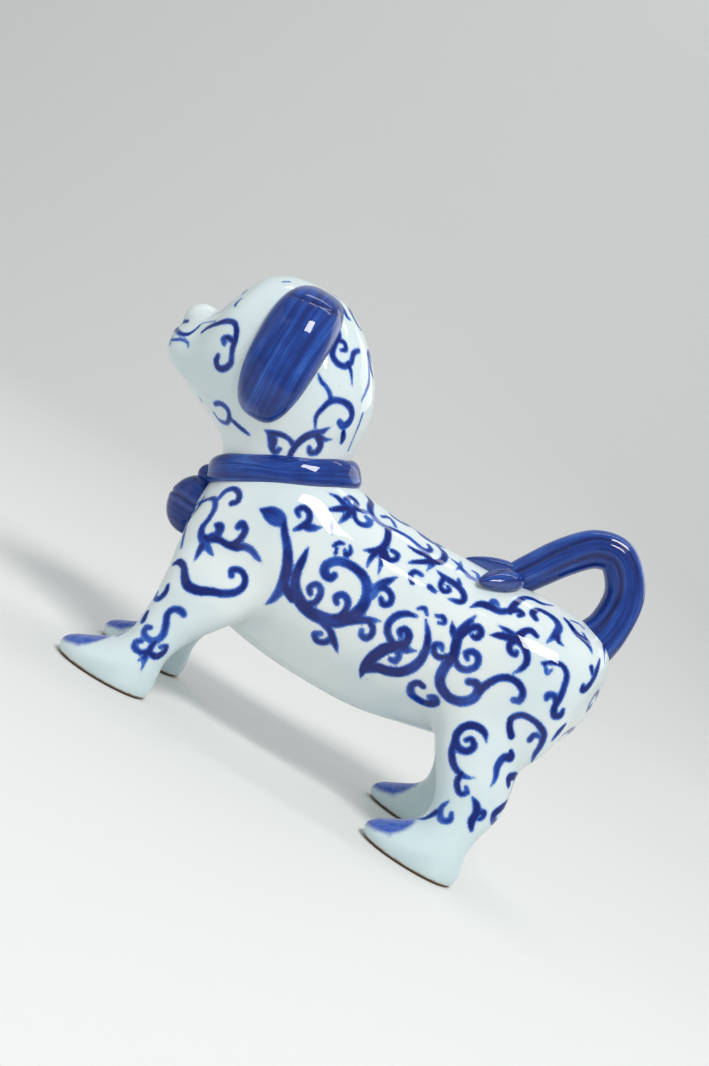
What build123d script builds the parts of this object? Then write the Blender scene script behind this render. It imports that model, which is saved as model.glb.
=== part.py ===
"""Hollow porcelain dog, standing, with a collar, a bell and a looped tail.

The figure is cast and modelled as separate clay pieces, which are luted together with slip before the
one firing: a trunk, a head, four legs, two ears, a nose, a collar, a bell on its hanger, a looped tail
and the three leaves that the tail ends in.

Frame: +Z up, the dog looks along -X, and its left side is at -Y. The origin is on the floor, in the
middle of the figure's length. Lengths are in millimetres.
"""
import os
from math import cos, radians, sin

from build123d import *

# ---- Driving dimensions ----------------------------------------------------------------------------
LENGTH = 206.0            # muzzle to rump
HEIGHT = 160.6            # floor to crown
TRUNK_WIDTH = 61.0        # widest part of the barrel
HEAD_WIDTH = 58.0         # widest part of the skull, without the ears
WALL = 4.0                # cast wall of the trunk and the head
LEG_WALL = 3.5            # cast wall of a leg
VENT = 3.0                # hole in the belly that lets the kiln gases out

NECK_LENGTH = 46.0        # the oval where head and trunk are luted: front to back
NECK_WIDTH = 44.0         # and side to side
NECK_TILT = 28.2          # degrees that the oval's back stands above its front

COLLAR_BAND = 10.8        # height of the collar along the neck
COLLAR_PROUD = 3.2        # how far the collar stands out from the luting line
COLLAR_FLARE = 1.8        # how much further its lower edge reaches out, and its upper edge in

STANCE = 68.0             # distance between the middles of a left and a right foot
FOOT_LENGTH = 36.6        # toe to heel
FOOT_WIDTH = 26.0
ANKLE = 19.4              # front-to-back thickness of a leg above the foot
ANKLE_WIDTH = 19.0        # side-to-side thickness there
LEG_ROOTS = 0.525         # distance between a left and a right leg inside the trunk, of TRUNK_WIDTH

EAR_LENGTH = 51.2
EAR_WIDTH = 25.0
EAR_THICKNESS = 6.5
EAR_ROOTS = 0.69          # distance between the flat roots of the two ears, as a share of HEAD_WIDTH
EAR_LEAN = 4.0            # degrees that the top of an ear leans forward

NOSE_LENGTH = 12.8
NOSE_WIDTH = 13.0

BELL_HEIGHT = 24.0
BELL_WIDTH = 21.0
HANGER = 8.0              # diameter of the knob that joins the bell to the collar

TAIL_ROOT = 16.2          # tail thickness where it leaves the rump
TAIL_TIP = 12.6           # and where it comes down on the back
SPINE_LEAF_LENGTH = 27.0
SPINE_LEAF_THICKNESS = 11.0
SIDE_LEAF_LENGTH = 22.0
SIDE_LEAF_THICKNESS = 9.6
SIDE_LEAF_SPREAD = 0.426  # distance between the middles of the side leaves, of TRUNK_WIDTH

# ---- Outlines --------------------------------------------------------------------------------------
# They are drawn on a dog 206 long and 160.6 tall, and stretched to LENGTH and HEIGHT.
DRAWN_LENGTH = 206.0
DRAWN_HEIGHT = 160.6

# The trunk from rump to neck: (back x, back z, belly x, belly z, share of TRUNK_WIDTH).
RUMP_POLE = (103.0, 82.0)
TRUNK_RIBS = [
    (101.2, 95.0, 101.8, 69.0, 0.46),
    (96.0, 102.0, 97.0, 57.5, 0.74),
    (85.0, 104.4, 87.0, 48.0, 0.92),
    (69.0, 104.5, 71.0, 42.0, 1.00),
    (50.0, 103.2, 50.0, 37.5, 1.00),
    (28.0, 101.0, 28.0, 31.5, 1.00),
    (6.0, 101.6, 3.0, 31.0, 1.00),
    (-4.0, 102.4, -17.0, 32.0, 1.00),
    (-9.0, 103.0, -35.0, 35.5, 1.00),
    (-12.0, 103.3, -50.0, 42.5, 0.99),
    (-14.0, 103.6, -59.5, 53.0, 0.96),
    (-15.5, 104.0, -62.5, 65.0, 0.90),
    (-17.2, 104.8, -61.8, 76.0, 0.81),
]

# The head from neck to muzzle: (crown x, crown z, jaw x, jaw z, share of HEAD_WIDTH).
HEAD_RIBS = [
    (-22.6, 114.0, -64.2, 89.5, 0.80),
    (-23.8, 123.0, -67.2, 93.8, 0.90),
    (-28.0, 134.5, -70.5, 96.4, 0.98),
    (-37.0, 147.5, -74.5, 97.9, 1.00),
    (-51.0, 158.0, -78.5, 99.1, 0.98),
    (-66.0, 160.2, -82.5, 100.6, 0.93),
    (-79.0, 155.2, -86.3, 102.1, 0.85),
    (-86.2, 146.5, -89.8, 103.6, 0.73),
    (-89.4, 137.0, -93.3, 105.4, 0.60),
    (-93.0, 130.0, -97.0, 108.0, 0.49),
    (-98.4, 125.6, -100.6, 112.0, 0.35),
]
MUZZLE_POLE = (-103.0, 118.4)

# A foot from the sole up: (height, share of FOOT_LENGTH, share of FOOT_WIDTH), flush at the heel.
FOOT_ROWS = [
    (0.0, 0.92, 0.90),
    (3.0, 1.00, 1.00),
    (6.5, 0.94, 0.98),
    (10.5, 0.76, 0.90),
    (14.0, 0.61, 0.80),
]
# The leg above it: (height, x past the middle of the ankle, share of ANKLE, share of ANKLE_WIDTH).
FRONT_SHANK = [
    (18.0, 1.3, 0.92, 1.00),
    (24.0, 2.8, 1.04, 1.02),
    (31.0, 4.7, 1.26, 1.12),
    (38.0, 6.6, 1.55, 1.26),
    (48.0, 9.0, 1.80, 1.34),
    (62.0, 13.0, 1.40, 0.96),
]
REAR_SHANK = [
    (18.0, 0.0, 1.06, 1.00),
    (25.0, -0.2, 1.16, 1.04),
    (32.0, -2.0, 1.42, 1.14),
    (41.0, -7.0, 1.90, 1.36),
    (53.0, -11.0, 2.12, 1.46),
    (66.0, -11.0, 1.80, 1.12),
]
FRONT_HEEL, REAR_HEEL = -37.4, 89.6     # where the heels stand

TAIL_LINE = [(92.4, 98.0), (94.6, 112.0), (92.4, 123.5), (83.6, 132.0), (74.6, 129.4), (66.0, 119.2),
             (53.0, 99.0)]


def at(x, z, y=0.0):
    """A place on the drawn dog, stretched to the real length and height."""
    return Vector(x * LENGTH / DRAWN_LENGTH, y, z * HEIGHT / DRAWN_HEIGHT)


NECK = at(-40.0, 95.2)                                   # middle of the luting oval, under the collar
NECK_BACKWARD = Vector(cos(radians(NECK_TILT)), 0, sin(radians(NECK_TILT)))
NECK_UP = Vector(-sin(radians(NECK_TILT)), 0, cos(radians(NECK_TILT)))
NECK_PLANE = Plane(origin=NECK, x_dir=NECK_BACKWARD, z_dir=NECK_UP)
COLLAR_FRONT = NECK - NECK_BACKWARD * (NECK_LENGTH / 2 + COLLAR_PROUD)

EAR_MIDDLE = at(-59.0, 131.3)
NOSE_MIDDLE = at(-94.9, 128.3)
HANGER_MIDDLE = (COLLAR_FRONT + at(-62.4, 76.0)) * 0.5   # between the middle of the band and the chest
BELL_MIDDLE = Vector(at(-61.0, 0).X, 0, HANGER_MIDDLE.Z - HANGER * 3 / 8 - BELL_HEIGHT / 2)
SPINE_LEAF_MIDDLE, SPINE_LEAF_RUN = at(49.0, 103.5), Vector(-22.0, 0, -7.5)
SIDE_LEAF_MIDDLE = at(51.3, 99.8, TRUNK_WIDTH * SIDE_LEAF_SPREAD / 2)
SIDE_LEAF_RUN = Vector(-11.5, 14.0, -9.0)
VENT_MIDDLE = at(24.0, 31.0)


# ---- Helpers ---------------------------------------------------------------------------------------
def rib(top, bottom, width, less=0.0):
    """An oval face between two points of the outline, drawn in by less all round."""
    across = top - bottom
    plane = Plane(origin=(top + bottom) * 0.5, x_dir=across, z_dir=across.cross(Vector(0, 1, 0)))
    return plane * Ellipse(across.length / 2 - less, width / 2 - less)


def neck_oval(less=0.0, rise=0.0):
    """The luting oval drawn in by less, or one parallel to it further up the neck."""
    return NECK_PLANE.offset(rise) * Ellipse(NECK_LENGTH / 2 - less, NECK_WIDTH / 2 - less)


def spindle(middle, run, length, thickness):
    """A pointed egg: an ellipse spun round its long axis, which lies along run."""
    half = Ellipse(length / 2, thickness / 2) & Pos(0, thickness / 2) * Rectangle(length, thickness)
    return Plane(origin=middle, x_dir=run, z_dir=run.cross(Vector(0, 1, 0))) * revolve(half, Axis.X)


def trunk(less=0.0):
    """The trunk as a full solid, drawn in by less all round except at its open neck."""
    ribs = [rib(at(back_x - less * (i == 0), back_z), at(belly_x - less * (i == 0), belly_z),
                TRUNK_WIDTH * share, less)
            for i, (back_x, back_z, belly_x, belly_z, share) in enumerate(TRUNK_RIBS)]
    return loft([Vertex(*(at(*RUMP_POLE) - Vector(less, 0, 0))), *ribs, neck_oval(less)])


def head(less=0.0):
    """The head as a full solid, drawn in by less all round except at its open neck."""
    ribs = [rib(at(crown_x, crown_z), at(jaw_x, jaw_z), HEAD_WIDTH * share, less)
            for crown_x, crown_z, jaw_x, jaw_z, share in HEAD_RIBS]
    return loft([neck_oval(less), *ribs, Vertex(*(at(*MUZZLE_POLE) + Vector(less, 0, 0)))])


def leg(shank, heel, less=0.0):
    """A right leg as a full solid on its sole, its root inside the trunk, or its cavity, a wall less."""
    heel_x = at(heel, 0).X
    ankle_x = heel_x - ANKLE / 2
    rise = FOOT_ROWS[-1][0]
    rows = []
    for z, long, wide in FOOT_ROWS:
        rows.append((z, heel_x - FOOT_LENGTH * long / 2, FOOT_LENGTH * long, FOOT_WIDTH * wide, STANCE / 2))
    for z, shift, long, wide in shank:
        climb = (z - rise) / (shank[-1][0] - rise)
        y = STANCE / 2 + (TRUNK_WIDTH * LEG_ROOTS - STANCE) / 2 * climb
        rows.append((z, ankle_x + shift, ANKLE * long, ANKLE_WIDTH * wide, y))
    ovals = []
    for z, x, long, wide, y in rows:
        height = at(0, z).Z
        if height >= less:
            ovals.append(Pos(x, y, height) * Ellipse(long / 2 - less, wide / 2 - less))
    return loft(ovals, ruled=less > 0)


def left(shape):
    """The same piece on the dog's left side."""
    return mirror(shape, about=Plane.XZ)


# ---- The full bodies that the other pieces are luted to ------------------------------------------------
TRUNK_BODY = trunk()
HEAD_BODY = head()


# ---- Clay pieces -----------------------------------------------------------------------------------
def make_trunk():
    """Hollow casting, open at the neck, with the vent through the belly."""
    vent = Pos(VENT_MIDDLE) * Cylinder(VENT / 2, WALL * 6)
    return TRUNK_BODY - trunk(WALL) - vent


def make_head():
    """Hollow casting, open at the neck."""
    return HEAD_BODY - head(WALL)


def make_leg(shank, heel):
    """Hollow casting that ends on the trunk."""
    return leg(shank, heel) - TRUNK_BODY - leg(shank, heel, LEG_WALL)


def make_ear():
    """A right ear: an oval pad of even thickness, pressed on to the side of the head."""
    root = Vector(EAR_MIDDLE.X, HEAD_WIDTH * EAR_ROOTS / 2, EAR_MIDDLE.Z)
    outline = Plane(origin=root, x_dir=(-1, 0, 0), z_dir=(0, 1, 0))
    oval = outline * Rot(0, 0, -EAR_LEAN) * Ellipse(EAR_WIDTH / 2, EAR_LENGTH / 2)
    return (extrude(oval, HEAD_WIDTH / 2) & head(-EAR_THICKNESS)) - HEAD_BODY


def make_nose():
    """A small ball on the end of the muzzle."""
    return spindle(NOSE_MIDDLE, Vector(1, 0, 0), NOSE_LENGTH, NOSE_WIDTH) - HEAD_BODY


def make_collar():
    """A band wrapped over the seam between head and trunk, wider at its lower edge."""
    bands = [neck_oval(-COLLAR_PROUD + COLLAR_FLARE * side, COLLAR_BAND / 2 * side) for side in (-1, 0, 1)]
    return loft(bands) - TRUNK_BODY - HEAD_BODY


def make_bell():
    """An egg-shaped bell, half of it standing out of the chest."""
    return spindle(BELL_MIDDLE, Vector(0, 0, 1), BELL_HEIGHT, BELL_WIDTH)


def make_tail():
    """A round rope that leaves the rump, loops over and comes down on the back."""
    line = Spline(*[at(x, z) for x, z in TAIL_LINE])
    stops = 12
    rounds = [Plane(line.location_at(i / stops)) * Circle((TAIL_ROOT + (TAIL_TIP - TAIL_ROOT) * i / stops) / 2)
              for i in range(stops + 1)]
    return loft(rounds) - TRUNK_BODY


parts = {"trunk_shell": make_trunk(), "head_shell": make_head()}

for end, shank, heel in (("front", FRONT_SHANK, FRONT_HEEL), ("rear", REAR_SHANK, REAR_HEEL)):
    parts[f"{end}_right_leg"] = make_leg(shank, heel)
    parts[f"{end}_left_leg"] = left(parts[f"{end}_right_leg"])

parts["right_ear"] = make_ear()
parts["left_ear"] = left(parts["right_ear"])
parts["nose"] = make_nose()

parts["collar"] = make_collar()
bell_hanger = Pos(HANGER_MIDDLE) * Sphere(HANGER / 2)
parts["bell_hanger"] = bell_hanger - parts["collar"] - TRUNK_BODY
parts["bell"] = make_bell() - bell_hanger - parts["collar"] - TRUNK_BODY

parts["tail"] = make_tail()
spine_leaf = spindle(SPINE_LEAF_MIDDLE, SPINE_LEAF_RUN, SPINE_LEAF_LENGTH, SPINE_LEAF_THICKNESS)
side_leaf = spindle(SIDE_LEAF_MIDDLE, SIDE_LEAF_RUN, SIDE_LEAF_LENGTH, SIDE_LEAF_THICKNESS)
parts["tail_leaf_middle"] = spine_leaf - parts["tail"] - TRUNK_BODY
parts["tail_leaf_right"] = side_leaf - parts["tail"] - spine_leaf - TRUNK_BODY
parts["tail_leaf_left"] = left(parts["tail_leaf_right"])

os.makedirs("parts", exist_ok=True)
for name, shape in parts.items():
    export_step(shape, f"parts/{name}.step")
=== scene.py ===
# %% [markdown]
# # A porcelain dog in blue and white
#
# This lesson builds the looks of a hollow porcelain dog. The real one is slip-cast in several
# pieces, which a potter joins with slip while the clay is still soft. A painter then draws scrolls in
# cobalt on the raw surface, and one clear glaze goes over everything before the firing. So there are
# three things to get right: a soft skin that runs from piece to piece without a crease, brush strokes
# that lie on that skin, and a thick, glossy, slightly uneven glaze.

# %% Load the frame
from math import cos, pi, radians, sin, tau

import bpy
import numpy as np
from mathutils import Matrix, Vector


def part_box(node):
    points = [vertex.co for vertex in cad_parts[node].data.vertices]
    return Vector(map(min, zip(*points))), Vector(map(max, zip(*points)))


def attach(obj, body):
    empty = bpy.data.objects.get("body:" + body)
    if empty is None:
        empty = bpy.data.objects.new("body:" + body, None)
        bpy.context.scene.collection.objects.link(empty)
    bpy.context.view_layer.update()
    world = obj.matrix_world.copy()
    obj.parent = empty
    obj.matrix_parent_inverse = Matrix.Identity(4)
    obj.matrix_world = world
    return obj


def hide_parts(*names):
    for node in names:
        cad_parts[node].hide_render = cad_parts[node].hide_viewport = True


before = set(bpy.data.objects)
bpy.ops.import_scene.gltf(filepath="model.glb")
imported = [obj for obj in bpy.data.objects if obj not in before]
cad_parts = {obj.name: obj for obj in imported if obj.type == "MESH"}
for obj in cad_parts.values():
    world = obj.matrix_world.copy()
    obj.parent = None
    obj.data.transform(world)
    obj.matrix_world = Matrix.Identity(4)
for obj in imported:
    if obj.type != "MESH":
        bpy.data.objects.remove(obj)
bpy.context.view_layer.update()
print("pieces of the frame:", len(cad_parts))

# %% [markdown]
# ## One ruler for everything
#
# Shapes are easiest to draw in millimetres, on a dog of a known size. Here the drawn dog is 206 mm
# long and about 160 mm tall. The ruler below stretches it to the frame's box, so a frame of another
# size still gets a skin that fits. The width is drawn as it is.

# %% The ruler from drawn millimetres to metres
DRAWN_LENGTH = 206.0
DRAWN_CROWN = 160.35     # the highest place of the drawn head
MM = 0.001
length_scale = (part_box("trunk_shell")[1][0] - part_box("head_shell")[0][0]) / (DRAWN_LENGTH * MM)
height_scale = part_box("head_shell")[1][2] / (DRAWN_CROWN * MM)
RULER = np.array([length_scale, 1.0, height_scale]) * MM
print("ruler, metres for a drawn millimetre:", RULER.round(6))


def curve(points, per_span=8):
    """A smooth line through given points: a Catmull-Rom spline.

    Between two points the line is the cubic that leaves each point parallel to the chord between its
    two neighbours. The columns may hold anything: places, thicknesses, shares.
    """
    points = np.asarray(points, float)
    ends = np.vstack([2 * points[0] - points[1], points, 2 * points[-1] - points[-2]])
    spans = len(points) - 1
    where = np.linspace(0, spans, spans * per_span + 1)
    span = np.minimum(where.astype(int), spans - 1)
    t = (where - span)[:, None]
    a, b, c, d = ends[span], ends[span + 1], ends[span + 2], ends[span + 3]
    return 0.5 * (2 * b + (c - a) * t + (2 * a - 5 * b + 4 * c - d) * t**2 + (3 * b - a - 3 * c + d) * t**3)


def smooth_step(low, high, value):
    """0 below low, 1 above high, and an S-curve between."""
    t = np.clip((value - low) / (high - low), 0, 1)
    return t * t * (3 - 2 * t)


# %% [markdown]
# ## The skin as a field
#
# Trunk, head and legs melt into each other, and a grid wrapped round each of them would leave a crease
# at every joint. So the skin is made the way a potter thinks of it: each piece is a lump of clay, and
# slip fills the corner between two lumps. In numbers, each lump is a field, the distance to its
# surface, negative inside. A smooth minimum of two fields is one field whose zero surface has the
# corner filled. All of it is worked out as whole arrays on a block of small cubes.
#
# The trunk and the head are ovals stacked along a bent axis, like sliced bread. Each oval spans from
# a point of the upper outline to a point of the lower one, and its width is a share of its height.

# %% The block of cubes
CUBE = 0.86
BLOCK_LOW = np.array([-106.0, -50.0, -3.0])
BLOCK_HIGH = np.array([106.5, 50.0, 164.5])
AXES = [np.arange(low, high, CUBE, dtype=np.float32) for low, high in zip(BLOCK_LOW, BLOCK_HIGH)]
GX, GY, GZ = AXES[0][:, None, None], AXES[1][None, :, None], AXES[2][None, None, :]
print("cubes:", [len(axis) for axis in AXES])


def bread(slices):
    """The field of ovals stacked like sliced bread, on the whole block.

    Each slice is (upper x, upper z, lower x, lower z, width over height). A place in the mid-plane
    finds the slice that it lies on, between two neighbours, and takes that slice's middle, half height
    H and half width W. With h its height on the slice and y its distance from the mid-plane, the field
    is q - 1 for q = sqrt((h / H)^2 + (y / W)^2), divided by the slope of q, so that it is close to a
    real distance. Beyond the first or last slice the field is the distance from that slice.
    """
    dense = curve(slices, 12)
    upper, lower, share = dense[:, :2], dense[:, 2:4], dense[:, 4]
    x, z = np.meshgrid(AXES[0], AXES[2], indexing="ij")
    flat = np.stack([x.ravel(), z.ravel()], 1)
    span = upper - lower
    size = np.maximum(np.linalg.norm(span, axis=1), 1e-3)
    along = span / size[:, None]
    side = np.stack([along[:, 1], -along[:, 0]], 1)
    best = np.full(len(flat), 1e9)
    pick = np.zeros(len(flat), int)
    for i in range(len(dense)):
        off = flat - lower[i]
        h = off @ along[i]
        gap = (off @ side[i]) ** 2 + np.maximum(0, np.maximum(-h, h - size[i])) ** 2
        near = gap < best
        best[near], pick[near] = gap[near], i
    beside = np.einsum("ij,ij->i", flat - lower[pick], side[pick])
    forward = np.sign(np.einsum("ij,ij->i", upper[-1:] + lower[-1:] - upper[:1] - lower[:1], side[:1]))
    step = np.where(beside * forward > 0, 1, -1)
    mate = np.clip(pick + step, 0, len(dense) - 1)
    other = np.einsum("ij,ij->i", flat - lower[mate], side[mate])
    raw = beside / np.where(np.abs(beside - other) < 1e-6, 1e-6, beside - other)
    blend = np.where(mate == pick, 0, np.clip(raw, 0, 1))[:, None]
    low = lower[pick] * (1 - blend) + lower[mate] * blend
    high = upper[pick] * (1 - blend) + upper[mate] * blend
    ratio = share[pick] * (1 - blend[:, 0]) + share[mate] * blend[:, 0]
    half = np.maximum(np.linalg.norm(high - low, axis=1) / 2, 0.05)
    run = (high - low) / (2 * half[:, None])
    h = np.einsum("ij,ij->i", flat - (high + low) / 2, run)
    beyond = np.where(mate == pick, np.abs(beside), np.where(beside * other > 0, np.abs(other), -99))
    shape = x.shape
    h, half, beyond = (a.reshape(shape)[:, None, :].astype(np.float32) for a in (h, half, beyond))
    wide = half * ratio.reshape(shape)[:, None, :].astype(np.float32)
    return np.maximum(oval_distance(h, half, GY, wide), beyond)


def oval_distance(u, half_u, v, half_v):
    """How far a place is outside an oval: (q - 1) over the slope of q = |(u / half_u, v / half_v)|."""
    q = np.sqrt((u / half_u) ** 2 + (v / half_v) ** 2) + 1e-6
    slope = np.sqrt((u / half_u**2) ** 2 + (v / half_v**2) ** 2) / q + 1e-6
    return np.maximum((q - 1) / slope, -np.minimum(half_u, half_v))


def melt(a, b, fillet):
    """The smooth minimum of two fields: where they are within fillet of each other, slip fills in."""
    overlap = np.maximum(fillet - np.abs(a - b), 0) / fillet
    return np.minimum(a, b) - overlap**3 * (fillet / 6)


def sponge(field, reach):
    """Wipes a lump with a wet sponge: three passes of a Gaussian blur, one along each axis."""
    offsets = np.arange(-int(np.ceil(2.5 * reach / CUBE)), int(np.ceil(2.5 * reach / CUBE)) + 1)
    weights = np.exp(-0.5 * (offsets * CUBE / reach) ** 2)
    weights /= weights.sum()
    for axis in range(3):
        padding = [(offsets[-1], offsets[-1]) if k == axis else (0, 0) for k in range(3)]
        padded = np.pad(field, padding, mode="edge")
        length = field.shape[axis]
        field = sum(np.float32(w) * np.take(padded, range(o + offsets[-1], o + offsets[-1] + length), axis)
                    for w, o in zip(weights, offsets))
    return field


# %% [markdown]
# ### Trunk and head
#
# The outlines follow a sturdy puppy: a level back, a chest that pushes forward under the collar, a
# belly that rises to the loins, a round skull, a nearly upright forehead and a short muzzle.

# %% Slices of trunk and head
TRUNK = [
    (103.0, 82.5, 103.0, 81.5, 1.00), (102.4, 91.5, 102.9, 71.0, 1.02), (100.0, 98.0, 100.4, 61.5, 1.01),
    (95.0, 102.6, 95.5, 54.0, 1.00), (85.0, 104.4, 87.0, 47.5, 0.99), (69.0, 104.5, 71.0, 42.0, 0.96),
    (50.0, 103.0, 50.0, 36.8, 0.92), (28.0, 101.3, 28.0, 31.8, 0.88), (6.0, 101.7, 3.0, 30.8, 0.865),
    (-4.0, 102.4, -17.0, 32.0, 0.85), (-9.0, 103.0, -35.0, 35.5, 0.845), (-12.0, 103.4, -50.0, 42.3, 0.86),
    (-14.0, 103.8, -59.5, 52.5, 0.89), (-15.5, 104.2, -62.7, 65.0, 0.92), (-17.6, 105.2, -61.8, 76.0, 0.94),
    (-19.7, 106.2, -60.3, 84.2, 0.96), (-22.4, 112.0, -62.6, 88.3, 0.97),
]
HEAD = [
    (-19.2, 104.5, -60.3, 83.6, 0.96), (-20.6, 114.4, -64.2, 89.8, 0.97), (-21.2, 125.0, -67.4, 93.6, 0.99),
    (-25.4, 137.4, -70.8, 96.2, 1.00), (-35.2, 149.8, -74.7, 98.0, 0.95), (-50.4, 160.0, -78.8, 99.6, 0.90),
    (-67.0, 160.8, -82.8, 101.4, 0.89), (-79.6, 156.4, -86.6, 103.2, 0.92),
    (-85.8, 146.4, -90.0, 105.0, 0.98), (-88.6, 137.4, -93.5, 106.8, 1.07),
    (-91.8, 130.6, -97.2, 109.0, 1.20), (-97.0, 126.0, -100.6, 112.0, 1.34),
    (-101.8, 121.6, -102.6, 115.6, 1.40), (-103.2, 119.0, -103.2, 118.0, 1.40),
]
trunk_field = sponge(bread(TRUNK), 2.2)
head_field = sponge(bread(HEAD), 1.6)
print("deepest place of trunk and head, mm:", trunk_field.min().round(1), head_field.min().round(1))

# %% [markdown]
# ### Legs, nose and the fullness of shoulder and thigh
#
# A leg is a stack of level ovals on a flat sole. It stands outwards like a table's leg and runs up
# into the trunk. The paw is the lowest ovals, drawn out to the front. The nose is a small ball. The
# shoulder and the thigh are flattened balls half sunk in the trunk, which only show as a soft swell.

# %% Stacked ovals and balls
STANCE = 34.0     # from the mid-plane to the middle of a foot


def leg(heel_x, rows, side):
    """The field of one leg on the whole block.

    Each row is (height, back x, front x, half width, distance from the mid-plane). Rows are joined by
    a smooth line, and a level cut through the leg at any height is the oval between its back and
    front. Below the sole the field is the height under the floor, with the edge rounded.
    """
    dense = curve(rows, 10)
    height = AXES[2]
    back, front, wide, out = (
        np.interp(height, dense[:, 0], dense[:, i]).astype(np.float32) for i in range(1, 5))
    middle, half = heel_x + (back + front) / 2, (back - front) / 2
    shell = oval_distance(GX - middle, half, GY - side * out, wide)
    above = np.maximum(GZ - rows[-1][0], 0)
    return -melt(-(shell + above), GZ + 0 * shell, 1.8)


def ball(x, y, z, half_x, half_y, half_z):
    """The field of a stretched ball, close to a distance near its surface."""
    u, v, w = (GX - x) / half_x, (GY - y) / half_y, (GZ - z) / half_z
    q = np.sqrt(u * u + v * v + w * w) + 1e-6
    slope = np.sqrt((u / half_x) ** 2 + (v / half_y) ** 2 + (w / half_z) ** 2) / q + 1e-6
    return (q - 1) / slope


FRONT_LEG = [
    (-2.0, -1.0, -34.0, 11.6, 34.0), (0.0, -0.4, -35.4, 12.4, 34.0), (3.2, 0.2, -36.6, 13.0, 34.0),
    (6.5, 0.0, -34.6, 12.6, 34.0), (10.0, -0.4, -28.0, 11.6, 33.6), (14.0, -0.8, -21.0, 10.2, 32.8),
    (19.0, 0.2, -17.4, 9.6, 31.4), (26.0, 3.4, -16.9, 10.0, 29.0), (33.0, 8.6, -17.0, 11.2, 26.6),
    (42.0, 15.0, -18.0, 13.2, 23.4), (52.0, 18.0, -18.0, 13.0, 20.4), (62.0, 16.0, -12.0, 9.6, 17.0),
]
REAR_LEG = [
    (-2.0, -1.0, -34.0, 11.6, 34.0), (0.0, -0.4, -35.8, 12.4, 34.0), (3.2, 0.3, -37.2, 13.0, 34.0),
    (6.5, 0.0, -35.0, 12.6, 34.0), (10.0, -0.8, -28.6, 11.6, 33.6), (14.0, -1.2, -22.4, 10.4, 32.8),
    (19.0, -0.2, -20.4, 10.0, 31.4), (26.0, 2.0, -21.8, 10.6, 29.4), (32.0, 2.9, -25.2, 11.6, 27.4),
    (41.0, 1.6, -30.4, 12.8, 24.0), (53.0, -2.6, -33.0, 12.6, 20.0), (66.0, -8.0, -30.0, 8.6, 16.0),
]
FRONT_HEEL, REAR_HEEL = -37.4, 89.6
legs = {}
for name, heel, rows in (("front", FRONT_HEEL, FRONT_LEG), ("rear", REAR_HEEL, REAR_LEG)):
    for side_name, side in (("left", -1), ("right", 1)):
        legs[f"{name}_{side_name}_leg"] = leg(heel, rows, side)
nose_field = ball(-94.8, 0, 127.2, 8.0, 7.6, 6.9)
swells = [ball(-39.0, side * 20, 60.0, 19.0, 9.5, 20.0) for side in (-1, 1)]
swells += [ball(73.0, side * 20.5, 64.0, 24.0, 10.0, 25.0) for side in (-1, 1)]
jowls = [ball(-91.0, side * 7.6, 114.5, 9.0, 6.0, 6.6) for side in (-1, 1)]

# %% [markdown]
# ### Melting the lumps together
#
# The order is the potter's: swells and jowls first, because they belong to trunk and head, then head
# on trunk, then the legs, and the nose last. Each lump's own field is kept for a moment, because it
# later says which clay piece a patch of skin belongs to.

# %% One field
for swell in swells:
    trunk_field = melt(trunk_field, swell, 9.0)
for jowl in jowls:
    head_field = melt(head_field, jowl, 9.0)
PIECE_NAMES = ["trunk", "head"] + list(legs) + ["nose"]
fields = [trunk_field, head_field] + list(legs.values()) + [nose_field]
owner = np.argmin(np.stack([f[::2, ::2, ::2] for f in fields]), axis=0).astype(np.uint8)
skin_field = melt(trunk_field, head_field, 3.0)
for lump in legs.values():
    skin_field = melt(skin_field, lump, 9.0)
skin_field = melt(skin_field, nose_field, 4.5)
VENT_X, VENT_RADIUS, VENT_TOP = 24.0, 3.0, 40.0     # a round pocket in the belly, the kiln's vent
vent = np.maximum(np.hypot(GX - VENT_X, GY) - VENT_RADIUS, GZ - VENT_TOP)
skin_field = -melt(-skin_field, vent, 1.0)
del fields, legs, swells, jowls
print("cubes inside the skin:", int((skin_field < 0).sum()))

# %% [markdown]
# ### Reading the field between the cubes
#
# To lay points and strokes on the skin, the field is needed anywhere, not only at the cubes. The
# usual way is to mix the eight cubes around a place, by how near it is to each.

# %% Field and slope at any place
def probe(field, places):
    """The field at many places: the eight cube corners round each one, mixed by nearness."""
    grid = (places - BLOCK_LOW) / CUBE
    top = np.array(field.shape) - 2
    base = np.clip(np.floor(grid).astype(int), 0, top)
    part = np.clip(grid - base, 0, 1)
    total = np.zeros(len(places))
    for corner in np.ndindex(2, 2, 2):
        share = np.prod(np.where(corner, part, 1 - part), axis=1)
        total += share * field[tuple((base + corner).T)]
    return total


def slope(field, places, step=1.0):
    """The direction in which the field grows fastest, by differences over a small step each way."""
    parts = [probe(field, places + step * axis) - probe(field, places - step * axis) for axis in np.eye(3)]
    out = np.stack(parts, 1)
    return out / np.maximum(np.linalg.norm(out, axis=1, keepdims=True), 1e-9)


def settle(field, places, rounds=2):
    """Moves places on to the zero surface: each slides along the slope by the field's value."""
    for _ in range(rounds):
        normal = slope(field, places, 0.5)
        ahead = probe(field, places + 0.25 * normal)
        behind = probe(field, places - 0.25 * normal)
        rate = np.clip((ahead - behind) / 0.5, 0.3, 3.0)
        places = places - (probe(field, places) / rate)[:, None] * normal
    return places


# %% [markdown]
# ### Wrapping the field in a net
#
# A net of four-sided faces is pulled over the zero surface with the method called surface nets. Each
# cube that the surface cuts gets one point, at the mean of the crossings on its twelve edges. Each
# cube edge that the surface cuts joins the four points around it into a face. A few rounds of evening
# out make the faces almost square, and settle keeps the points on the surface.

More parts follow.
